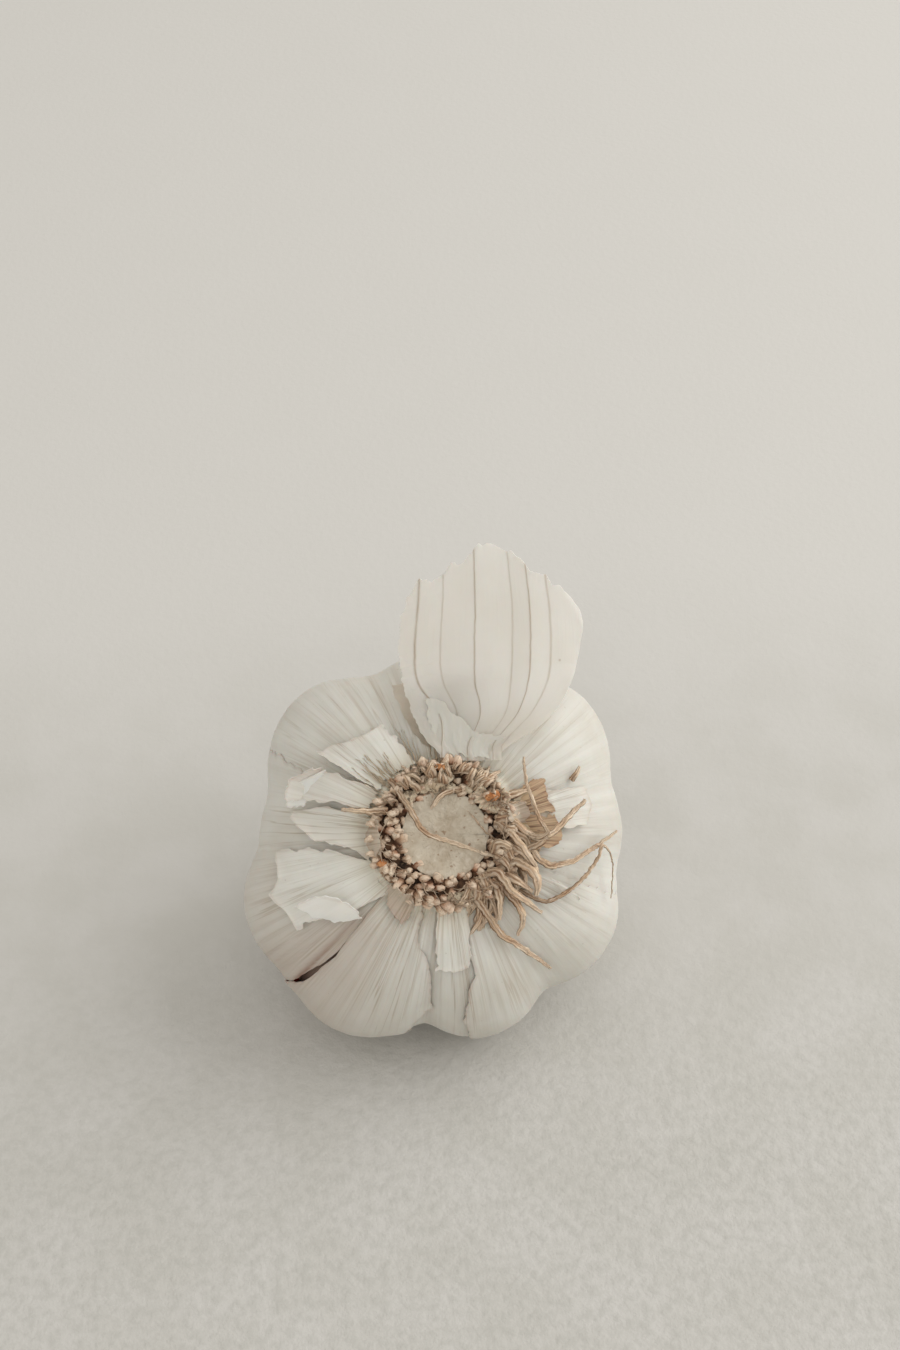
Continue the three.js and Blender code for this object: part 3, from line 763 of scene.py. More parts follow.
def skinPiece(node, skin, number):
    place = np.linspace(sheetSize["from"], 1.0, sheetSize["rows"])[:, None]
    clipped = np.clip(place, 0, 1)
    first = tearAt(skin["from"], clipped)
    second = tearAt(skin["to"], clipped) + skin.get("turns", 0)
    widest = np.max(radians(1) * (second - first)) * 30
    columns = int(widest / sheetSize["spacing"])
    share = np.linspace(0, 1, columns)[None, :]
    radius = np.hypot(*np.moveaxis(skinPoint(np.radians(first), clipped)[..., :2], -1, 0))
    perDegree = np.maximum(radius * radians(1), 0.12)
    torn = skin.get("torn", (0.5, 0.5))
    ragged = [rough(clipped * 34, 0.5, 100 + number + k, 4) * torn[k] for k in range(2)]
    low = first - (skin["past"][0] + ragged[0]) / perDegree
    high = second + (skin["past"][1] + ragged[1]) / perDegree
    direction = low + (high - low) * share
    angle = np.radians(direction)
    turns = direction / 360
    wander = turns + noise(turns * 14, place * 4, 61) * 0.0035
    nearPlate = 1 - smooth(place, 0.02, 0.5)
    nearNeck = smooth(place, 0.68, 0.95)
    relief = 0
    ridges = []
    for seed, often, down, height, midway in skinRidges:
        ridges.append(1 - np.abs(noise(wander * often, place * down, seed + number)))
        relief = relief + height * ridges[-1] ** 4 * (nearPlate + nearNeck + midway)
    folds = ridges[0]
    seed, often, down, height = skinUneven
    relief = relief + height * rough(turns * often, place * down, seed + number, 3)
    fromLow = (direction - low) * perDegree
    fromHigh = (high - direction) * perDegree
    edgeFrom = 1 - smooth(fromLow, 0, sheetSize["edgeWidth"])
    edgeTo = 1 - smooth(fromHigh, 0, sheetSize["edgeWidth"])
    lift = sheetSize["lift"] * (1 - edgeFrom) * (1 - edgeTo)
    lift = lift + skin["edge"][0] * edgeFrom + skin["edge"][1] * edgeTo
    lift = lift + sheetSize["atRoots"] * (1 - smooth(place, -0.04, 0.03))
    middle = raised(angle, np.minimum(place, 0.999), lift + relief - sheetSize["sunk"])
    uv = stacked(turns, place)
    # crease: painted shade between the raised folds, strongest near the root plate
    crease = np.clip(1 - folds * 1.35, 0, 1) * (0.35 + 0.5 * nearPlate)
    firstRim = np.exp(-((fromLow / sheetSize["rimWidth"]) ** 2)) * (skin["edge"][0] > 0.3)
    secondRim = np.exp(-((fromHigh / sheetSize["rimWidth"]) ** 2)) * (skin["edge"][1] > 0.3)
    stain = (firstRim + secondRim) * 0.25
    bare = 0 * stain
    # on the front skin, greyer towards the slit: painted shade with some real grey-brown streaking
    if node == "skin_front":
        bare = 0.9 * smooth(place, 0.03, 0.12) * (1 - smooth(direction, 228, 254))
    if node == "skin_left":
        outer = smooth(place, 0.06, 0.16) * (1 - smooth(place, 0.5, 0.62))
        bare = (0.3 * smooth(direction, 176, 190) + 0.7 * smooth(direction, 203, 217)) * outer
        for at, width, depth, near, far in bareStreaks:
            length = smooth(place, near, near + 0.08) * (1 - smooth(place, far, far + 0.08))
            uneven = 0.7 + 0.5 * noise(direction * 2.2, place * 9, 66)
            stain = stain + depth * uneven * length * np.exp(-(((direction - at) / width) ** 2))
    fields = {"crease": crease, "stain": np.clip(stain, 0, 1), "bare": bare}
    mesh = sheetMesh(node + "Sheet", middle, sheetSize["thickness"], uv, fields)
    return addPiece(node + "_sheet", mesh, skinMaterial, "papery_skin", node)


for number, (node, skin) in enumerate(skins.items()):
    skinPiece(node, skin, number)
print("skins made")

# Cloves, seen through the tears

cloveSize = {"share": 0.972, "end": 0.8, "sides": 72, "levels": 64, "gap": 0.35, "core": 1.2}


def clovePiece(number):
    size = cloveSize
    sides = size["sides"]
    cloves = head["cloves"]
    direction, reach, bulge = cloves[number]
    after = radians((cloves[(number + 1) % len(cloves)][0] - direction) % 360) / 2
    before = radians((direction - cloves[number - 1][0]) % 360) / 2
    place = np.linspace(0, size["end"], size["levels"])[:, None]
    around = np.linspace(0, 2 * pi, sides, endpoint=False)[None, :]
    outline = curved(head["outline"], place) * size["share"]
    share, height = outline[..., 0], outline[..., 1]
    x = np.maximum(share * (reach - bulge + bulge * np.cos(around)), size["core"])
    left = x * tan(after) - size["gap"] / 2 / cos(after)
    right = x * tan(before) - size["gap"] / 2 / cos(before)
    y = np.clip(share * bulge * np.sin(around), -right, left)
    turnTo = radians(direction)
    east = x * cos(turnTo) - y * sin(turnTo)
    north = x * sin(turnTo) + y * cos(turnTo)
    points = stacked(east, north, height)
    ends = points[[0, -1]].mean(1)
    _, faces = gridFaces(size["levels"], sides + 1)
    wrapped = (faces // (sides + 1)) * sides + (faces % (sides + 1)) % sides  # the last column is the first
    count = size["levels"] * sides
    last = count - sides
    faces = wrapped[:, ::-1].tolist()
    faces += [(k, (k + 1) % sides, count) for k in range(sides)]
    faces += [(last + (k + 1) % sides, last + k, count + 1) for k in range(sides)]
    allPoints = onTable(np.concatenate([points.reshape(-1, 3), ends]))
    turns = np.arctan2(north, east) / (2 * pi)
    uv = stacked(turns, place).reshape(-1, 2)
    uv = np.concatenate([uv, uv[:2]])
    mesh = meshFrom(f"clove{number + 1}", allPoints, faces, uv)
    node = f"clove_{number + 1}"
    return addPiece(f"garlicClove{number + 1}", mesh, cloveMaterial, "clove_skin", node)


for number in range(len(head["cloves"])):
    clovePiece(number)
print("cloves made")

# Torn flakes: rows of corners running outwards from the roots, each corner with its place as seen from the
# roots and how far it curls up

flakes = {
    "flake_upper_left": [
        [[-9.2, 6.5, 0.2], [-10.0, 5.3, 0.2], [-10.5, 4.1, 0.2]],
        [[-14.0, 9.0, 1.0], [-15.2, 7.2, 1.1], [-16.4, 5.3, 1.0]],
        [[-16.9, 10.3, 1.1], [-18.8, 8.1, 1.2], [-20.3, 5.9, 1.1]],
        [[-18.9, 10.0, 2.9], [-21.7, 8.8, 3.2], [-22.7, 5.9, 3.0]],
    ],
    "flake_left": [
        [[-10.4, 3.4, 0.0], [-10.7, 0.4, 0.0], [-10.6, -3.0, 0.0]],
        [[-16.0, 4.8, 0.0], [-15.9, 2.2, 0.2], [-15.2, -0.6, 0.3]],
        [[-19.4, 4.6, 0.0], [-19.2, 2.6, 0.3], [-18.3, -0.1, 0.8]],
        [[-21.5, 4.4, 0.0], [-22.0, 3.6, 0.6], [-21.2, 2.4, 1.1]],
    ],
    "flake_lower_left": [
        [[-10.5, -3.4, 0.0], [-9.8, -5.1, 0.0], [-8.8, -6.6, 0.0], [-7.8, -7.9, 0.0]],
        [[-16.5, -1.6, 0.0], [-16.4, -5.0, 0.0], [-15.2, -8.0, 0.0], [-13.0, -10.0, 0.2]],
        [[-20.5, -1.0, 0.0], [-20.3, -5.0, 0.0], [-19.3, -8.2, 0.1], [-17.7, -11.1, 0.2]],
        [[-24.3, -1.2, 0.1], [-23.9, -5.2, 0.5], [-25.2, -7.4, 0.2], [-21.4, -12.4, 0.4]],
    ],
    "flake_upper": [
        [[-3.6, 10.4, 0.0], [-5.9, 9.3, 0.0], [-7.8, 8.0, 0.0], [-9.0, 6.7, 0.0]],
        [[-6.2, 14.0, 0.0], [-9.4, 12.7, 0.2], [-12.4, 11.0, 0.0], [-13.9, 9.9, 0.0]],
        [[-8.5, 16.0, 0.2], [-12.5, 14.1, 0.3], [-15.6, 13.6, 0.3], [-17.5, 12.5, 0.3]],
    ],
    "flake_bottom": [
        [[-1.7, -10.6, 0.0], [0.6, -10.8, 0.0], [2.8, -10.7, 0.0]],
        [[-1.9, -16.0, 0.0], [0.6, -16.3, 0.1], [3.0, -16.0, 0.0]],
        [[-1.8, -19.1, 0.1], [0.5, -19.5, 0.2], [2.9, -18.7, 0.1]],
    ],
    "flake_right": [
        [[9.6, 5.2, 0.2], [10.6, 2.9, 0.3], [11.0, 0.2, 0.2]],
        [[16.1, 6.0, 0.0], [16.5, 3.2, 0.1], [16.1, 0.6, 0.1]],
        [[20.6, 6.6, 0.3], [21.4, 3.6, 0.5], [20.6, 0.6, 0.3]],
    ],
}
# folded bits that stand up, painted lighter where they catch the light, and bracts at the foot of the roots
curls = {
    "folded_leaf": [
        [[-12.2, -11.5, 0.6], [-15.9, -11.4, 0.6], [-19.0, -10.6, 0.6], [-21.4, -9.3, 0.8]],
        [[-12.7, -10.1, 1.5], [-14.6, -8.7, 2.1], [-18.2, -7.8, 2.1], [-21.3, -9.0, 1.2]],
    ],
    "folded_corner": [
        [[-19.7, 5.1, 0.7], [-18.6, 6.8, 0.9], [-16.8, 9.2, 0.7]],
        [[-22.4, 4.9, 1.5], [-22.1, 7.9, 2.6], [-16.7, 9.9, 1.5]],
    ],
    "mauve_bract": [
        [[-8.2, -6.6, 0.7], [-6.6, -7.8, 0.9], [-5.0, -8.3, 0.7]],
        [[-8.5, -9.3, 0.6], [-6.7, -10.4, 0.9], [-4.9, -10.2, 0.6]],
        [[-7.7, -10.9, 0.3], [-6.6, -12.1, 0.3], [-5.8, -11.7, 0.3]],
    ],
    "left_bract": [
        [[-9.2, 2.6, 0.2], [-9.3, 0.2, 0.5], [-9.2, -2.4, 0.2]],
        [[-10.3, 2.2, 0.4], [-11.3, -0.2, 0.9], [-10.6, -2.2, 0.4]],
    ],
    "ochre_bract": [
        [[9.6, 5.8, 0.1], [10.3, 4.2, 0.3], [10.5, 2.4, 0.1]],
        [[12.4, 7.1, 0.3], [13.0, 5.0, 0.6], [13.2, 2.6, 0.3]],
        [[14.7, 7.7, 0.4], [14.9, 5.4, 0.7], [15.9, 2.7, 0.4]],
    ],
    "ochre_bract_low": [
        [[10.2, 2.2, 0.0], [10.5, 0.2, 0.2], [10.2, -2.2, 0.0]],
        [[13.2, 2.2, 0.3], [13.6, -0.2, 0.6], [12.8, -2.4, 0.3]],
        [[16.0, 2.0, 0.4], [17.2, -0.8, 0.6], [15.3, -2.3, 0.3]],
    ],
    "torn_sliver": [
        [[14.4, -6.5, 0.0], [15.2, -7.1, 0.3], [15.7, -7.9, 0.0]],
        [[16.6, -7.6, 0.3], [17.2, -8.3, 0.6], [17.6, -9.1, 0.3]],
        [[18.5, -8.9, 0.5], [18.9, -9.6, 0.8], [19.0, -10.2, 0.5]],
    ],
    "right_bract": [
        [[8.9, 3.9, 0.4], [9.3, 2.8, 0.8], [9.1, 1.6, 0.4]],
        [[11.6, 4.4, 0.5], [12.4, 2.6, 1.2], [11.6, 1.4, 0.5]],
    ],
}
flakeSize = {"spacing": 0.22, "thickness": 0.14, "lift": 0.82, "tear": 0.35}


def raggedShares(rows, columns, seed, tear):
    # shares from 0 to 1 both ways, with wandering edges
    v = np.linspace(0, 1, rows)[:, None]
    u = np.linspace(0, 1, columns)[None, :]
    left = rough(v * 7, 0.5, seed, 4) * tear[0]
    right = rough(v * 7, 0.5, seed + 10, 4) * tear[0]
    inner = rough(u * 6, 0.5, seed + 20, 4) * tear[1]
    outer = rough(u * 6, 0.5, seed + 30, 4) * tear[1]
    across = u + left * (1 - u) ** 3 + right * u**3
    down = v + inner * (1 - v) ** 3 + outer * v**3
    return np.broadcast_arrays(across, down)


def flakeMesh(name, corners, seed):
    corners = np.array(corners)
    width = np.linalg.norm(corners[1, 0, :2] - corners[1, -1, :2])
    length = np.linalg.norm(corners[0, 1, :2] - corners[-1, 1, :2])
    rows = int(length / flakeSize["spacing"])
    columns = int(width / flakeSize["spacing"])
    tear = (flakeSize["tear"] / width, flakeSize["tear"] / length)
    u, v = raggedShares(rows, columns, seed, tear)
    byRow = [along(row, u) for row in corners]  # each (rows, columns, 3)
    last = len(corners) - 1
    before = np.clip(np.floor(v * last).astype(int), 0, last - 1)[..., None]
    share = (v * last)[..., None] - before
    low = np.choose(before, byRow[:-1])
    high = np.choose(before, byRow[1:])
    value = low * (1 - share) + high * share
    x, y = value[..., 0], value[..., 1]
    turns = np.arctan2(y, x) / (2 * pi) % 1
    distance = np.hypot(x, y)
    folds = 1 - np.abs(noise(turns * 110, distance * 0.12, seed + 3))
    waves = rough(x * 0.28, y * 0.28, seed + 5, 3)
    rim = np.minimum(np.minimum(u, 1 - u) * width, (1 - v) * length)
    relief = 0.07 * folds**4 + 0.1 * waves + 0.3 * np.exp(-rim / 0.8)
    middle = over(x, y, flakeSize["lift"] + value[..., 2] + relief)
    uv = np.stack([turns, (distance - 11) / 40], -1)
    stain = 0.2 * np.exp(-((rim / 0.2) ** 2))
    if name.startswith("flake_right"):
        ochre = (1 - smooth(distance, 14.6, 16.4)) * smooth(y, -0.6, 0.8)
        stain = stain + ochre * (0.55 + 0.7 * noise(turns * 300, distance * 0.3, seed + 8))
    # crease: painted shade between the raised folds
    fields = {"crease": np.clip(1 - folds * 1.3, 0, 1) * 0.5, "stain": np.clip(stain, 0, 1)}
    return sheetMesh(name, middle, flakeSize["thickness"], uv, fields)


bractMaterial = paperyMaterial(
    "rootBract",
    {
        **flakeLook,
        "base": tone(206, 188, 176),
        "second": tone(190, 168, 160),
        "shade": tone(160, 130, 128),
        "lineDepth": 1.6,
        "glow": 0.2,
    },
)
patchLook = {**flakeLook, "stain": tone(184, 158, 120), "lineDepth": 1.2}
patchMaterial = paperyMaterial("ochreFlake", patchLook)  # stained towards the roots
ochreLook = {
    **flakeLook,
    "lines": 104,
    "base": tone(212, 186, 154),
    "second": tone(194, 162, 128),
    "shade": tone(164, 124, 108),
    "line": tone(104, 70, 56),
    "rootLine": tone(116, 78, 60),
    "lineDepth": 2.1,
    "yellowing": 0.7,
    "old": tone(206, 176, 140),
    "bump": 0.8,
    "glow": 0.1,
}
ochreMaterial = paperyMaterial("ochreBract", ochreLook)
cupLook = {**ochreLook, "base": tone(218, 202, 178), "second": tone(204, 184, 156)}
cupMaterial = paperyMaterial("cupBract", cupLook)
for number, (node, corners) in enumerate(flakes.items()):
    mesh = flakeMesh(node + "Sheet", corners, 200 + 7 * number)
    material = patchMaterial if node == "flake_right" else flakeMaterial
    addPiece(node + "_sheet", mesh, material, "papery_skin", node)
curlKinds = {
    # material, slot and the node that each belongs to
    "folded_leaf": (litFoldMaterial, "papery_skin", "flake_lower_left"),
    "folded_corner": (litFoldMaterial, "papery_skin", "flake_upper_left"),
    "ochre_bract": (ochreMaterial, "papery_skin", "flake_right"),
    "ochre_bract_low": (ochreMaterial, "papery_skin", "flake_right"),
    "torn_sliver": (flakeMaterial, "papery_skin", "skin_lower_right"),
    "mauve_bract": (bractMaterial, "dried_roots", "root_ring"),
    "left_bract": (bractMaterial, "dried_roots", "root_ring"),
    "right_bract": (bractMaterial, "dried_roots", "root_ring"),
}
for number, (name, corners) in enumerate(curls.items()):
    mesh = flakeMesh(name, corners, 260 + 9 * number)
    addPiece(name + "_sheet", mesh, *curlKinds[name])
print("flakes made")

# The standing flap and the scrap over its foot

flap = {
    "foot": 12.2,  # its place towards the top of the photo, and that of its tip
    "tip": 41.0,
    "lift": 17.1,
    "rise": 3.4,
    "middle": 7.4,
    "half": 13,
    "cup": 2.8,  # how far the sides bend back
    "drawn": (29, 24),  # height and width that the mesh's spacing is reckoned from
    "left": [-1.0, -3.3, -4.5, -5.2, -5.4, -5.3, -4.0, -1.4, -1.4],
    "right": [8.6, 14.4, 17.8, 19.5, 20.5, 21.1, 20.2, 20, 20],
    # how far up the torn top runs, at shares of the width
    "topAt": [0, 0.1, 0.18, 0.26, 0.34, 0.41, 0.5, 0.58, 0.64, 0.7, 0.78, 0.81, 0.85, 0.91, 0.98, 1],
    "top": [0.84, 0.83, 0.91, 0.91, 0.98, 1, 0.98, 0.96, 0.91, 0.86, 0.84, 0.86, 0.81, 0.79, 0.73, 0.68],
    "thickness": 0.16,
    "lifted": 0.3,  # off the surface that the outline is drawn on
    "facets": [0, 0.4, 0, 0.45, 0.05, 0.4, 0.1, 0],  # how far each vein stands out, in mm
    "creaseAt": 0.36,  # a fold across the left half, as a share of the height
    "spacing": 0.2,
    # the fan of veins: its two sides from the foot to the tip
    "fanLeft": [-1.0, -1.6, -5.2, -5.6, -5.0, -4.4, -4.0],
    "fanRight": [9.5, 14.5, 17.6, 18.3, 18.2, 17.7, 17.2],
}


def flapPoint(u, share, seed=310):
    torn = np.interp(u, flap["topAt"], flap["top"]) + 0.012 * rough(u * 22, 0.5, seed + 5, 3)
    v = share * np.minimum(torn, 1)
    left = along(flap["left"], v) + rough(v * 24, 0.5, seed, 4) * 0.3
    right = curved(flap["right"], v) + rough(v * 14, 0.5, seed + 1, 3) * 0.12
    x = left * (1 - u) + right * u
    back = flap["cup"] * ((x - flap["middle"]) / flap["half"]) ** 2 * np.minimum(1, 2.4 * v)
    y = (flap["foot"] - 0.8 * u) * (1 - v) + flap["tip"] * v
    z = flap["lift"] + flap["rise"] * np.maximum(v, 0) ** 1.2 - back
    return stacked(x, y, z)


def flapPiece():
    rows, columns = (int(drawn / flap["spacing"]) for drawn in flap["drawn"])
    v = np.linspace(-0.05, 1, rows)[:, None]
    u = np.linspace(0, 1, columns)[None, :]
    u, v = np.broadcast_arrays(u, v)
    middle = flapPoint(u, v)
    x, y = middle[..., 0], middle[..., 1]
    height = (y - flap["foot"]) / (flap["tip"] - flap["foot"])
    fanLeft, fanRight = curved(flap["fanLeft"], height), curved(flap["fanRight"], height)
    fan = (x - fanLeft) / (fanRight - fanLeft)
    facets = np.interp(fan, [-0.2, *flapLook["veins"], 1.2], flap["facets"])
    ripple = 0.25 * rough(u * 4, v * 2, 41, 2) + facets
    fluted = np.sin(u * 40 + noise(u * 3, v * 3, 44)) * (1 - v) ** 3  # near the foot
    ripple = ripple + 0.1 * fluted
    crease = np.abs(height - flap["creaseAt"] - 0.03 * noise(u * 4, 0.5, 45))
    ripple = ripple + 0.35 * np.clip(1 - crease / 0.06, 0, 1) * (u < 0.6) * (1 - u)
    edge = np.minimum(np.minimum(u, 1 - u) * 24, (1 - v) * 28)
    curl = 0.35 * np.exp(-edge / 0.9) * noise(u * 7, v * 7, 47)
    middle[..., 2] += flap["lifted"] + ripple + curl
    uv = np.stack([fan, height], -1)
    mesh = sheetMesh("flapSheet", middle, flap["thickness"], uv)
    return addPiece("standing_flap_sheet", mesh, flapMaterial, "flap_skin", "standing_flap")


scrap = {"rows": 34, "columns": 90, "thickness": 0.14}


def scrapPiece():
    u, v = raggedShares(scrap["rows"], scrap["columns"], 330, (0.03, 0.12))
    reach = 0.31 - 0.19 * smooth(u, 0.05, 0.6)
    middle = flapPoint(0.1 + 0.72 * u, reach * v - 0.04)
    middle[..., 2] += 0.6 + 0.08 * rough(u * 9, v * 2, 333, 3) + 0.2 * v**4
    turns = np.arctan2(middle[..., 1], middle[..., 0]) / (2 * pi)
    uv = np.stack([turns, 0.4 + v * 0.1], -1)
    fields = {"crease": 0.1 * np.clip(noise(turns * 150, v, 335), 0, 1), "stain": v * 0}
    mesh = sheetMesh("flapFootScrapSheet", middle, scrap["thickness"], uv, fields)
    return addPiece("flap_foot_scrap_sheet", mesh, scrapMaterial, "papery_skin", "flap_foot_scrap")


flapBack = {"rows": 60, "columns": 50, "thickness": 0.14}


def flapBackPiece():
    # the layer behind, which shows past the flap's left edge near its foot, darker as painted shade under
    # the flap
    v = np.linspace(0.02, 0.4, flapBack["rows"])[:, None]
    u = np.linspace(0, 1, flapBack["columns"])[None, :]
    u, v = np.broadcast_arrays(u, v)
    middle = flapPoint(-0.06 - 0.02 * v + 0.55 * u, v)
    middle[..., 2] -= 0.9 - 0.2 * rough(u * 5, v * 8, 351, 3)
    uv = np.stack([u * 0.5, v], -1)
    mesh = sheetMesh("flapBackSheet", middle, flapBack["thickness"], uv)
    return addPiece("flap_back_sheet", mesh, shadedFlapBackMaterial, "flap_skin", "standing_flap")


flapPiece()
flapBackPiece()
scrapPiece()
print("flap made")

# The root plate: a pale corky disc, hollow in the middle

plate = {"radius": 6.2, "foot": 15.9, "rim": 17.7, "middle": 16.7, "rings": 60, "sides": 180}


def platePiece():
    radius = np.linspace(0, 1, plate["rings"])[:, None]
    angle = np.linspace(0, 2 * pi, plate["sides"], endpoint=False)[None, :]
    reach = plate["radius"] * (1 + 0.035 * noise(angle * 26 / (2 * pi), 0.5, 71))
    x, y = radius * reach * np.cos(angle), radius * reach * np.sin(angle)
    bowl = plate["middle"] + (plate["rim"] - plate["middle"]) * smooth(radius, 0.25, 0.95)
    fibres = noise(angle * 90 / (2 * pi), radius * 4, 73) * 0.1 * smooth(radius, 0.1, 0.5)
    z = bowl + 0.14 * rough(x * 0.7, y * 0.7, 75, 4) + fibres
    top = stacked(x, y, z)
    bottom = top[-1] * [1, 1, 0] + [0, 0, plate["foot"]]
    rings, sides = plate["rings"], plate["sides"]
    points = np.concatenate([top.reshape(-1, 3), bottom, [[0, 0, plate["foot"]]]])
    faces = []
    for row in range(1, rings):
        for k in range(sides):
            here, beside = row * sides + k, row * sides + (k + 1) % sides
            quad = (here - sides, here, beside, beside - sides)
            faces.append(quad if row > 1 else (0, here, beside))
    edge, base, centre = (rings - 1) * sides, rings * sides, (rings + 1) * sides
    for k in range(sides):
        beside = (k + 1) % sides
        faces.append((edge + k, base + k, base + beside, edge + beside))
        faces.append((centre, base + beside, base + k))
    uv = stacked(angle / (2 * pi), radius).reshape(-1, 2)
    uv = np.concatenate([uv, uv[-sides:], uv[:1]])
    mesh = meshFrom("plateDisc", onTable(points), faces, uv)
    mended(mesh)
    return addPiece("root_plate_disc", mesh, plateMaterial, "root_plate", "root_plate")


platePiece()

# The crust that the roots stand in

crust = {"around": 360, "section": 26, "middle": 8.1, "half": 2.0, "height": 0.8, "level": 16.95}


def crustPiece():
    angle = np.linspace(0, 2 * pi, crust["around"], endpoint=False)[:, None]
    turn = np.linspace(0, 2 * pi, crust["section"], endpoint=False)[None, :]
    lump = 1 + 0.2 * rough(angle * 96 / (2 * pi), turn * 2, 81, 3)
    out = crust["half"] * lump * np.cos(turn)
    radius = crust["middle"] + out
    z = crust["level"] + crust["height"] * lump * np.sin(turn)
    points = stacked(radius * np.cos(angle), radius * np.sin(angle), z)
    around, section = crust["around"], crust["section"]
    start = np.arange(around)[:, None] * section
    after = (start + section) % (around * section)
    j = np.arange(section)[None, :]
    nextJ = (j + 1) % section
    faces = stacked(start + j, after + j, after + nextJ, start + nextJ).reshape(-1, 4)
    mesh = meshFrom("crust", onTable(points), faces)
    return addPiece("root_crust", mesh, shadedCrustMaterial, "dried_roots", "root_ring")


crustPiece()
print("plate and crust made")

# Root stubs, by Geometry Nodes: rows of short stalks round the ring

stubs = {
    "rows": [
        # radius, count, length, splay, seed
        (6.4, 34, 1.0, -0.3, 3),
        (7.0, 36, 1.5, 0.0, 4),
        (7.7, 38, 1.9, 0.2, 5),
        (8.4, 42, 2.1, 0.6, 6),
        (9.0, 48, 2.2, 1.1, 7),
        (9.3, 52, 1.8, 1.3, 8),
    ],
    "girth": 1.5,
    "sides": 9,
    "steps": 8,
    "foot": 16.95,
}


def treeWith(name, inputs):
    tree = bpy.data.node_groups.new(name, "GeometryNodeTree")
    tree.interface.new_socket("Geometry", in_out="INPUT", socket_type="NodeSocketGeometry")
    for label, kind in inputs.items():
        tree.interface.new_socket(label, in_out="INPUT", socket_type="NodeSocket" + kind)
    tree.interface.new_socket("Geometry", in_out="OUTPUT", socket_type="NodeSocketGeometry")
    source = tree.nodes.new("NodeGroupInput")
    sockets = {s.name: Wire(tree, s) for s in source.outputs if s.name}
    return tree, Wire(tree), sockets


def closeTree(wire, geometry, material):
    geometry = wire.node("GeometryNodeRealizeInstances", {"Geometry": geometry})
    geometry = wire.node("GeometryNodeSetMaterial", {"Geometry": geometry, "Material": material})
    wire.node("NodeGroupOutput", {"Geometry": geometry})


def remember(wire, geometry, name, value, domain="POINT", kind="FLOAT"):
    values = {"Geometry": geometry, "Name": name, "Value": value}
    return wire.node("GeometryNodeStoreNamedAttribute", values, domain=domain, data_type=kind)


def moved(wire, geometry, offset):
    return wire.node("GeometryNodeSetPosition", {"Geometry": geometry, "Offset": offset})


def shaken(wire, geometry, spot, scale, detail, amount):
    # every point moved by a smooth noise
    noisy = wire.node("ShaderNodeTexNoise", {"Vector": spot, "Scale": scale, "Detail": detail}, 1)
    centred = wire.vector("SUBTRACT", noisy, (0.5, 0.5, 0.5))
    return moved(wire, geometry, wire.vector("SCALE", centred, scale=amount))


def roundProfile(wire, sides):
    return wire.node("GeometryNodeCurvePrimitiveCircle", {"Resolution": sides, "Radius": 1.0})


def plied(wire, profile):
    # where round the root a point is, for the fibres painted along it
    start = wire.node("GeometryNodeInputPosition", {})
    return remember(wire, profile, "ply", start, kind="FLOAT_VECTOR")


def swept(wire, line, profile, girth):
    values = {"Curve": line, "Profile Curve": profile, "Scale": girth, "Fill Caps": True}
    return wire.node("GeometryNodeCurveToMesh", values)


def stubTree(material):
    inputs = {"Radius": "Float", "Count": "Int", "Length": "Float"}
    inputs = {**inputs, "Splay": "Float", "Girth": "Float", "Seed": "Int"}
    tree, wire, given = treeWith("rootStubs", inputs)
    line = wire.node("GeometryNodeCurvePrimitiveLine", {"Start": (0, 0, 0), "End": (0, 0, 1)})
    line = wire.node("GeometryNodeResampleCurve", {"Curve": line, "Count": stubs["steps"]})
    factor = wire.node("GeometryNodeSplineParameter", {})
    bend = wire.node("ShaderNodeCombineXYZ", {"X": factor * factor * 0.6})
    line = remember(wire, moved(wire, line, bend), "tip", factor)
    rounded = wire.math("SQRT", 1 - factor**7)
    girth = rounded * (0.98 - 0.2 * factor) * 0.5
    stalk = swept(wire, line, plied(wire, roundProfile(wire, stubs["sides"])), girth)
    values = {"Vertices": given["Count"], "Radius": given["Radius"]}
    circle = wire.node("GeometryNodeMeshCircle", values)

    def randomVector(low, high, shift):
        values = {0: low, 1: high, "Seed": given["Seed"] + shift}
        return wire.node("FunctionNodeRandomValue", values, 0, data_type="FLOAT_VECTOR")

    circle = moved(wire, circle, randomVector((-0.4, -0.4, -0.3), (0.4, 0.4, 0.3), 1))
    position = wire.node("GeometryNodeInputPosition", {})
    splayed = wire.vector("SCALE", wire.vector("NORMALIZE", position), scale=given["Splay"])
    heading = wire.vector("ADD", splayed, (0, 0, 1))
    wild = randomVector((-0.8, -0.8, -0.3), (0.8, 0.8, 0.2), 2)
    heading = {"Vector": wire.vector("ADD", heading, wild)}
    pointing = wire.node("FunctionNodeAlignRotationToVector", heading, axis="Z", pivot_axis="AUTO")
    size = randomVector((0.6, 0.6, 0.6), (1.15, 0.95, 1.25), 3)
    values = {"X": given["Girth"], "Y": given["Girth"], "Z": given["Length"]}
    scale = wire.vector("MULTIPLY", size, wire.node("ShaderNodeCombineXYZ", values))
    values = {"Points": circle, "Instance": stalk, "Rotation": pointing, "Scale": scale}
    placed = wire.node("GeometryNodeInstanceOnPoints", values)
    values = {2: 0.0, 3: 1.0, "Seed": given["Seed"] + 4}
    tint = wire.node("FunctionNodeRandomValue", values, 1, data_type="FLOAT")
    placed = remember(wire, placed, "tint", tint, "INSTANCE")
    whole = wire.node("GeometryNodeRealizeInstances", {"Geometry": placed})
    spot = wire.node("GeometryNodeInputPosition", {})
    closeTree(wire, shaken(wire, whole, spot, 1.9, 3.0, 1.25), material)
    return tree


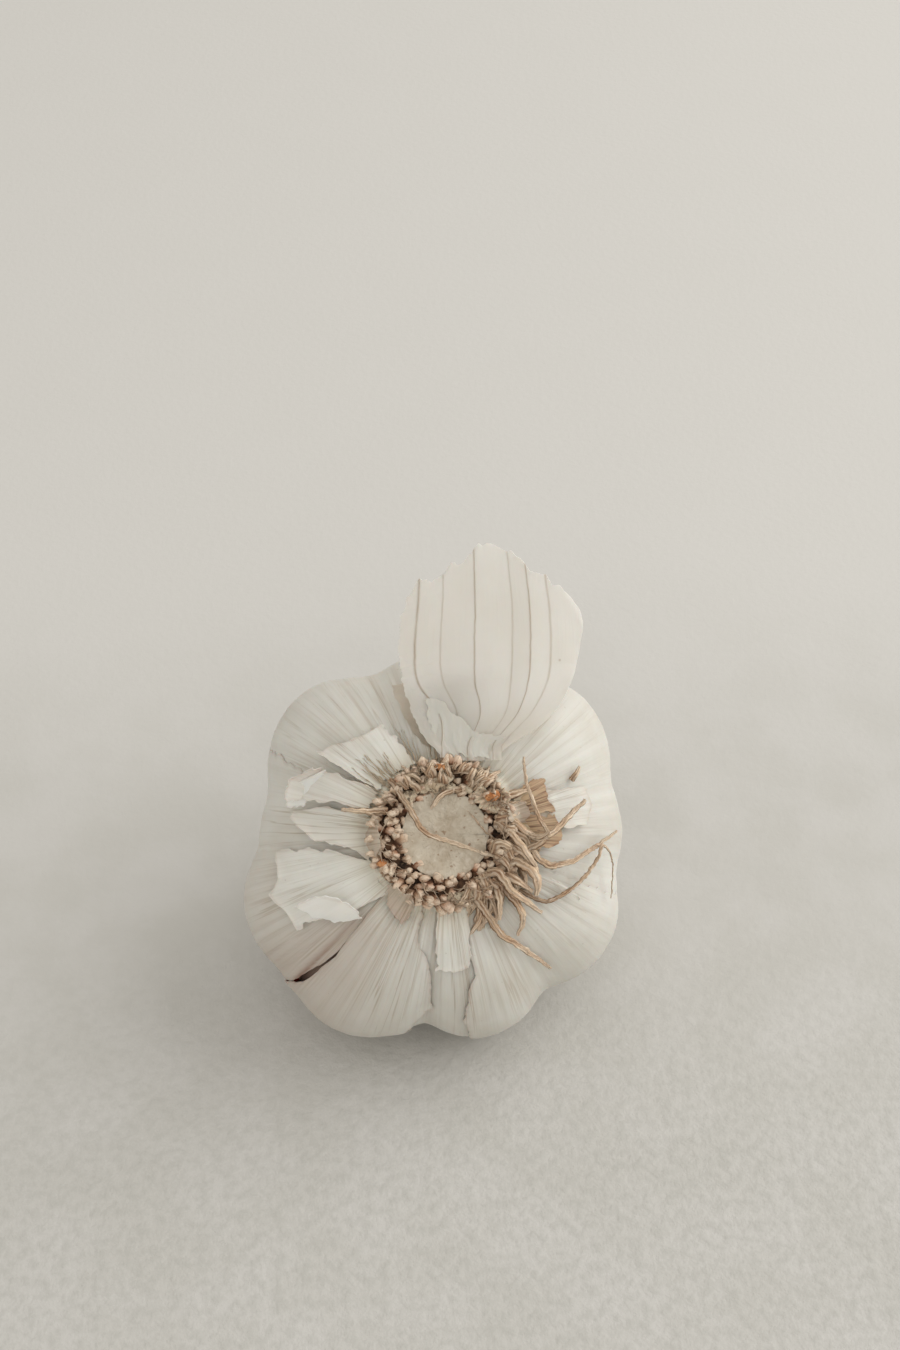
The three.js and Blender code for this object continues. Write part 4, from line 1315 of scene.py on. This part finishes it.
def grown(name, carrier, tree, values):
    # the plain mesh that a tree grows on a carrier object
    bpy.context.scene.collection.objects.link(carrier)
    modifier = carrier.modifiers.new(name, "NODES")
    modifier.node_group = tree
    for item in tree.interface.items_tree:
        if item.in_out == "INPUT" and item.name in values:
            modifier[item.identifier] = values[item.name]
    carrier.update_tag()
    evaluated = carrier.evaluated_get(bpy.context.evaluated_depsgraph_get())
    mesh = bpy.data.meshes.new_from_object(evaluated)
    carrier.modifiers.clear()
    bpy.data.objects.remove(carrier)
    return mesh


def meshOnTable(mesh, lift=0.0):
    points = np.empty(len(mesh.vertices) * 3)
    mesh.vertices.foreach_get("co", points)
    points = onTable(points.reshape(-1, 3) + [0, 0, lift])
    mesh.vertices.foreach_set("co", points.ravel())
    mesh.shade_smooth()
    mesh.update()
    return mesh


stubNodes = stubTree(stubMaterial)
for row, (radius, count, length, splay, seed) in enumerate(stubs["rows"]):
    seat = bpy.data.objects.new("stubSeat", bpy.data.meshes.new("stubSeat"))
    sizes = {
        "Radius": float(radius),
        "Count": count,
        "Length": float(length),
        "Splay": float(splay),
        "Girth": float(stubs["girth"]),
        "Seed": seed,
    }
    mesh = grown("stubs", seat, stubNodes, sizes)
    mesh = meshOnTable(mesh, stubs["foot"])
    mesh.name = f"stubs{row + 1}"
    addPiece(f"root_stubs_{row + 1}", mesh, stubMaterial, "dried_roots", "root_ring")
print("stubs made")

# Long roots: thickness in mm, and points as seen from the roots with their lift

longRoots = [
    (0.85, [(-7.4, 8.0, 1.5), (-6.8, 7.2, 1.1), (-6.0, 5.7, 0.8), (-4.7, 3.6, 0.7), (-3.1, 0.8, 0.6),
            (-1.3, -0.2, 0.5), (1.2, -1.2, 0.5), (4.7, -2.6, 0.6), (6.9, -3.4, 0.3)]),
    (0.9, [(2.7, 6.5, 0.1), (0.9, 6.1, 0.5), (-0.5, 5.4, 0.6), (-1.9, 3.8, 0.3)]),
    (0.35, [(6.9, -0.9, 0.1), (5.3, 0.8, 0.4), (3.4, 3.3, 0.2)]),
    (0.8, [(18.6, 7.2, 1.0), (19.4, 8.0, 1.5), (20.0, 9.2, 1.3)]),
    (1.0, [(8.3, 0.6, 0.5), (11.2, -1.0, 2.8), (13.0, -3.8, 2.4), (15.5, -4.9, 1.9), (19.5, -3.7, 2.2),
           (25.2, -0.2, 2.4)]),
    (1.2, [(6.9, 3.4, 0.2), (8.9, 2.7, 0.9), (9.9, 1.4, 1.3), (12.7, -0.8, 3.2), (14.6, -1.1, 3.3)]),
    (1.3, [(6.9, -3.0, 0.1), (7.4, -1.5, 1.1), (8.8, -2.0, 1.3), (9.7, -3.3, 0.4)]),
    (1.7, [(7.2, -4.8, 0.2), (9.4, -4.1, 1.3), (11.7, -5.1, 3.2), (12.8, -7.0, 2.6), (12.7, -9.0, 1.7)]),
    (1.2, [(7.9, -2.2, 0.7), (9.9, -2.3, 1.3), (11.8, -3.9, 2.9), (13.0, -5.4, 1.8)]),
    (1.1, [(7.3, 1.8, 0.5), (9.1, 0.0, 1.3), (11.3, -2.7, 3.9), (12.6, -5.0, 3.2)]),
    (1.2, [(5.8, -5.7, 0.5), (7.2, -5.7, 1.3), (9.4, -8.4, 3.0), (13.3, -11.5, 2.1)]),
    (1.3, [(8.0, -5.7, 0.3), (10.0, -6.9, 2.6), (12.1, -8.5, 1.8)]),
    (1.1, [(9.4, -3.4, 0.6), (12.1, -2.3, 2.8), (15.9, 0.3, 3.3), (20.3, 4.3, 3.6)]),
    (0.7, [(9.8, 0.6, 0.2), (12.8, -0.8, 3.6), (14.4, -0.2, 3.7), (13.3, 2.2, 3.8), (12.4, 5.0, 3.9),
           (11.8, 7.2, 3.5), (11.6, 10.6, 2.8)]),
    (0.6, [(9.2, -7.2, 0.0), (13.7, -9.9, 1.5), (18.1, -8.1, 1.8), (21.4, -4.9, 2.6), (22.9, -2.3, 3.0),
            (24.4, -4.8, 2.4), (24.0, -9.9, 1.3)]),
    (1.1, [(6.7, -7.0, 0.2), (7.3, -9.0, 2.6), (7.3, -12.4, 1.7)]),
    (1.1, [(7.6, -6.9, 0.1), (10.3, -11.0, 2.4), (10.5, -12.9, 1.7), (9.8, -14.6, 1.5)]),
    (1.0, [(3.6, -8.6, 0.1), (5.1, -10.9, 2.4), (7.4, -14.2, 1.7), (10.5, -16.4, 1.4), (14.8, -19.6, 1.4)]),
    (1.0, [(-8.0, 3.8, 0.4), (-10.6, 3.8, 3.2), (-12.6, 3.9, 3.9), (-14.4, 4.1, 3.8)]),
]
strand = {"sides": 16, "girth": 0.95}


def curveCarrier(name, routes):
    # a curve object with one spline for each route of points, each with its own thickness
    curve = bpy.data.curves.new(name, "CURVE")
    curve.dimensions = "3D"
    for thickness, points in routes:
        spline = curve.splines.new("POLY")
        spline.points.add(len(points) - 1)
        flat = np.concatenate([points, np.ones((len(points), 1))], 1)
        spline.points.foreach_set("co", flat.ravel())
        for point in spline.points:
            point.radius = thickness / 2
    return bpy.data.objects.new(name, curve)


def strandTree(material):
    inputs = {"Spacing": "Float", "Tip": "Float", "Flatness": "Float"}
    tree, wire, given = treeWith("rootStrands", inputs)
    values = {"Curve": given["Geometry"], "Length": given["Spacing"]}
    line = wire.node("GeometryNodeResampleCurve", values, mode="LENGTH")
    factor = wire.node("GeometryNodeSplineParameter", {})
    radius = wire.node("GeometryNodeInputRadius", {})
    spot = wire.node("GeometryNodeInputPosition", {})
    line = remember(wire, shaken(wire, line, spot, 0.7, 1.0, 0.5), "tip", factor)
    line = remember(wire, line, "reach", wire.node("GeometryNodeSplineParameter", {}, 1))
    uneven = wire.node("ShaderNodeTexNoise", {"Vector": spot, "Scale": 1.3, "Detail": 2.0})
    thin = 1 - factor * factor * (1 - given["Tip"])
    girth = radius * thin * (0.65 + uneven * 0.7)
    index = wire.node("GeometryNodeInputIndex", {})
    groove = wire.math("LESS_THAN", wire.math("MODULO", index, 3), 0.5)  # every third corner
    profile = remember(wire, roundProfile(wire, strand["sides"]), "groove", groove)
    start = wire.node("GeometryNodeInputPosition", {})
    inward = wire.vector("SCALE", start, scale=groove * -0.4)
    profile = moved(wire, plied(wire, profile), inward)
    flat = wire.node("ShaderNodeCombineXYZ", {"X": 1.2, "Y": given["Flatness"], "Z": 1.0})
    profile = wire.node("GeometryNodeTransform", {"Geometry": profile, "Scale": flat})
    body = swept(wire, line, profile, girth)
    closeTree(wire, shaken(wire, body, spot, 2.6, 3.0, 0.4), material)
    return tree


def routeOver(points, spacing=0.5):
    # a smooth route through given points, laid over the ring and the skin
    points = np.array(points)
    placed = over(points[:, 0], points[:, 1], points[:, 2])
    length = np.sum(np.linalg.norm(np.diff(placed, axis=0), axis=1))
    return curved(placed, np.linspace(0, 1, max(int(length / spacing), 5)))


strandNodes = strandTree(strandMaterial)
routes = [(thickness * strand["girth"], routeOver(points)) for thickness, points in longRoots]
sizes = {"Spacing": 0.25, "Tip": 0.4, "Flatness": 0.62}
mesh = meshOnTable(grown("strands", curveCarrier("strands", routes), strandNodes, sizes))
mesh.name = "longRoots"
addPiece("long_roots", mesh, strandMaterial, "dried_roots", "root_ring")

# Finer roots between them, combed to the right and down

fineRoots = {
    # how many, directions in degrees, where they start, length, swirl, how high they arch, thickness, seed
    "combed_roots": (44, (-72, 30), (7.4, 9.8), (2.5, 5.6), (-0.45, 0.0), (0.2, 1.2), (0.5, 1.3), 12),
    "top_stubs": (34, (48, 128), (7.2, 9.4), (1.4, 3.0), (-0.2, 0.2), (0.6, 1.4), (0.5, 1.0), 16),
    "root_fringe": (150, (200, 500), (9.0, 10.0), (0.7, 2.0), (-0.15, 0.15), (-0.3, 0.3), (0.25, 0.7), 13),
    "root_hairs": (60, (0, 360), (7.0, 9.6), (0.8, 2.2), (-0.5, 0.5), (0.8, 1.6), (0.12, 0.26), 14),
    "skin_fibres": (56, (92, 166), (9.0, 10.2), (3.0, 9.5), (-0.05, 0.05), (0.5, 0.8), (0.07, 0.16), 15),
}


def fineRoutes(count, directions, starts, lengths, swirls, arches, girths, seed):
    draw = np.random.default_rng(seed)
    made = []
    for _ in range(count):
        angle = radians(draw.uniform(*directions))
        length = draw.uniform(*lengths)
        steps = np.linspace(0, 1, 7)
        distance = draw.uniform(*starts) + steps * length
        direction = angle + draw.uniform(*swirls) * steps**1.5
        arch = draw.uniform(*arches) * np.sin(pi * np.minimum(steps * 0.8 + 0.1, 1))
        points = over(distance * np.cos(direction), distance * np.sin(direction), 0.4 + arch)
        made.append((draw.uniform(*girths), curved(points, np.linspace(0, 1, 14))))
    return made


for name, rule in fineRoots.items():
    sizes = {"Spacing": 0.42, "Tip": 0.3, "Flatness": 0.55}
    mesh = meshOnTable(grown(name, curveCarrier(name, fineRoutes(*rule)), strandNodes, sizes))
    mesh.name = name
    material = fibreMaterial if name == "skin_fibres" else strandMaterial
    addPiece(name, mesh, material, "dried_roots", "root_ring")

# Worn lumps between the roots: middle, half sizes and whether it is orange inside

lumps = [
    ((-1.3, 7.2, 18.2), (1.3, 1.0, 0.7), False),
    ((0.4, 8.2, 18.3), (1.1, 0.9, 0.7), False),
    ((0.9, 6.6, 18.0), (0.9, 0.7, 0.6), False),
    ((-3.2, 6.6, 18.0), (0.9, 0.8, 0.6), False),
    ((-4.9, 5.6, 18.0), (1.0, 0.8, 0.6), False),
    ((4.2, 6.4, 18.1), (1.0, 0.7, 0.7), False),
    ((8.6, 2.6, 18.4), (0.8, 0.8, 0.6), False),
    ((1.6, -8.9, 18.2), (1.3, 0.8, 0.6), False),
    ((3.3, -8.3, 18.4), (1.0, 0.7, 0.6), False),
    ((-0.2, 9.6, 18.3), (0.8, 0.5, 0.5), True),
    ((7.0, 5.3, 18.5), (0.9, 0.8, 0.7), True),
    ((-9.0, -3.6, 18.1), (0.6, 0.5, 0.4), True),
]


def lumpyMaterial(name, base, second, dark):
    material, wire = newMaterial(name)
    place = wire.inSpace()
    patchy = place.grain(700, 4, roughness=0.7)
    pits = place.grain(1500, 3)
    colour = patchy.step(0.4, 0.62).mix(base, second)
    colour = ((1 - pits.step(0.38, 0.46)) * 0.7).mix(colour, dark)
    finishMaterial(wire, matte(colour, wire.bump(patchy + pits, 0.8, 0.0004)))
    return material


def lumpsPiece(name, orange, material):
    bm = bmesh.new()
    for number, (middle, sizes, inside) in enumerate(lumps):
        if inside == orange:
            made = bmesh.ops.create_icosphere(bm, subdivisions=4, radius=1)["verts"]
            x, y, z = np.array([vert.co for vert in made]).T
            uneven = 1 + 0.45 * rough(x * 2 + y * 0.7 + 9, z * 2 - y + 9, 400 + number, 3)
            placed = middle + np.stack([x, y, z], -1) * sizes * uneven[:, None]
            for vert, point in zip(made, placed):
                vert.co = point
    mesh = bpy.data.meshes.new(name)
    bm.to_mesh(mesh)
    bm.free()
    addPiece(name, meshOnTable(mesh), material, "dried_roots", "root_ring")


lumpMaterial = lumpyMaterial("wornLump", tone(206, 192, 168), tone(184, 164, 138), tone(74, 58, 46))
orangeMaterial = lumpyMaterial("orangeSpot", tone(212, 158, 112), tone(190, 124, 78), tone(120, 72, 46))
lumpsPiece("root_lumps", False, lumpMaterial)
lumpsPiece("orange_spots", True, orangeMaterial)

cup = {
    "middle": (7.0, 5.2),
    "reach": 2.3,
    "from": 130,
    "to": 395,
    "foot": 18.1,
    "height": 1.5,
    "thickness": 0.22,
}


def cupPiece():
    # the cup of dried bract round the orange spot
    share = np.linspace(0.35, 1, 24)[:, None]
    turn = np.radians(np.linspace(cup["from"], cup["to"], 90))[None, :]
    torn = 1 + 0.3 * rough(turn * 2.5, 0.5, 431, 3)
    out = cup["reach"] * share * torn
    x = cup["middle"][0] + out * np.cos(turn)
    y = cup["middle"][1] + out * np.sin(turn)
    z = cup["foot"] + cup["height"] * (share**1.5 - 0.3) + 0.45 * noise(turn * 4, share * 3, 433)
    middle = stacked(x, y, z)
    uv = stacked(turn / 12, 0.1 + share * 0.1)
    mesh = sheetMesh("cupBract", middle, cup["thickness"], uv)
    addPiece("cup_bract", mesh, cupMaterial, "dried_roots", "root_ring")


cupPiece()
print("roots made")

# The dried neck under the head

neck = {"profile": [(6.3, -20.9), (5.5, -23.4), (5.2, -25.6), (5.4, -27.3)], "around": 220, "levels": 40}


def neckPiece():
    level = np.linspace(0, 1, neck["levels"])[:, None]
    angle = np.linspace(0, 2 * pi, neck["around"], endpoint=False)[None, :]
    profile = curved(neck["profile"], level)
    turns = angle / (2 * pi)
    pleats = 1 - np.abs(noise(turns * 52 % 52, level * 2, 91))
    radius = profile[..., 0] * (0.9 + 0.1 * pleats)
    x, y = radius * np.cos(angle), radius * np.sin(angle)
    points = stacked(x, y, profile[..., 1])
    inward = np.linspace(1, 0.02, 26)[:, None]
    cut = points[-1][None] * [1, 1, 0] * inward[..., None] + [0, 0, 1] * points[-1][None]
    layers = 0.35 * noise(inward * 9 + 0 * angle, turns * 6, 93) * smooth(1 - inward, 0.02, 0.2)
    cut[..., 2] += layers
    points = np.concatenate([points, cut[1:]])
    rows, sides = points.shape[:2]
    i, j = np.arange(rows - 1)[:, None], np.arange(sides)[None, :]
    n = (j + 1) % sides
    faces = np.stack([i * sides + n, i * sides + j, (i + 1) * sides + j, (i + 1) * sides + n], -1)
    faces = faces.reshape(-1, 4).tolist()
    faces.append(list(range(sides)))
    faces.append(list(range(rows * sides - 1, (rows - 1) * sides - 1, -1)))
    place = np.linspace(0.8, 1.2, rows)[:, None]
    uv = stacked(turns, place)
    mesh = meshFrom("neckPleats", onTable(points), faces, uv)
    mended(mesh, True)
    return addPiece("neck_pleats", mesh, neckMaterial, "dried_neck", "neck")


neckMaterial = paperyMaterial(
    "driedNeck",
    {
        **skinLook,
        "base": tone(214, 202, 178),
        "second": tone(200, 184, 156),
        "shade": tone(176, 154, 124),
        "line": tone(136, 108, 78),
        "glow": 0.0,
    },
)
neckPiece()
print("neck made")

# Floor, light and camera

stage = {
    "size": 1.2,
    "tone": tone(197, 195, 190),
    "second": tone(192, 190, 184),
    # lighter far part of the floor: painted light
    "far": tone(204, 202, 197),
    "worn": tone(172, 171, 164),
}


def stageFloor():
    half = stage["size"]
    corners = [(-half, -half, 0), (half, -half, 0), (half, half, 0), (-half, half, 0)]
    mesh = bpy.data.meshes.new("floor")
    mesh.from_pydata(corners, [], [(0, 1, 2, 3)])
    material, wire = newMaterial("paleFloor")
    place = wire.inSpace()
    cloudy = place.grain(60, 4)
    grit = place.grain(700, 3)
    trowelled = place.grain(560, 3, roughness=0.6)
    y = place.along(1)
    near = 1 - y.step(-0.05, 0.02)
    colour = cloudy.step(0.35, 0.65).mix(stage["tone"], stage["second"])
    # lighter towards the back: painted light
    colour = (y.step(0.02, 0.09) * 0.9).mix(colour, stage["far"])
    colour = (trowelled.step(0.36, 0.7) * near * 0.4).mix(colour, stage["worn"])
    height = grit * 0.4 + trowelled * near * 2
    finishMaterial(wire, matte(colour, wire.bump(height, 0.35, 0.0005)))
    mesh.materials.append(material)
    floor = bpy.data.objects.new("floor", mesh)
    bpy.context.scene.collection.objects.link(floor)


stageFloor()

lights = {
    # place, aim, size and power
    "window": ((0.78, 0.22, 0.5), (0, 0, 0.03), 1.1, 7.0),
    "fill": ((-0.7, 0.0, 0.34), (0, 0, 0.03), 0.9, 0.4),
    "front": ((0.1, -0.8, 0.45), (0, -0.06, 0), 0.9, 0.85),
}
for name, (place, aim, size, power) in lights.items():
    light = bpy.data.lights.new(name, "AREA")
    light.size = size
    light.energy = power
    lamp = bpy.data.objects.new(name, light)
    lamp.location = place
    lamp.rotation_euler = (Vector(aim) - Vector(place)).to_track_quat("-Z", "Y").to_euler()
    bpy.context.scene.collection.objects.link(lamp)

world = bpy.data.worlds.new("studio")
world.use_nodes = True
background = world.node_tree.nodes["Background"]
background.inputs["Color"].default_value = tone(232, 229, 224)
background.inputs["Strength"].default_value = 0.9
bpy.context.scene.world = world
bpy.context.scene.view_settings.view_transform = "Standard"

view = {
    "azimuth": -3,
    "elevation": 45.5,
    "distance": 0.32,
    "target": (0.002814, 0.006336, 0.0532),
    "lens": 60,
}


def addCamera():
    azimuth, elevation = radians(view["azimuth"]), radians(view["elevation"])
    back = Vector((sin(azimuth) * cos(elevation), -cos(azimuth) * cos(elevation), sin(elevation)))
    camera = bpy.data.objects.new("camera", bpy.data.cameras.new("camera"))
    camera.data.lens = view["lens"]
    camera.data.clip_start = 0.01
    camera.location = Vector(view["target"]) + back * view["distance"]
    camera.rotation_mode = "QUATERNION"
    camera.rotation_quaternion = (-back).to_track_quat("-Z", "Y")
    bpy.context.scene.collection.objects.link(camera)
    bpy.context.scene.camera = camera


addCamera()

print("scene made")
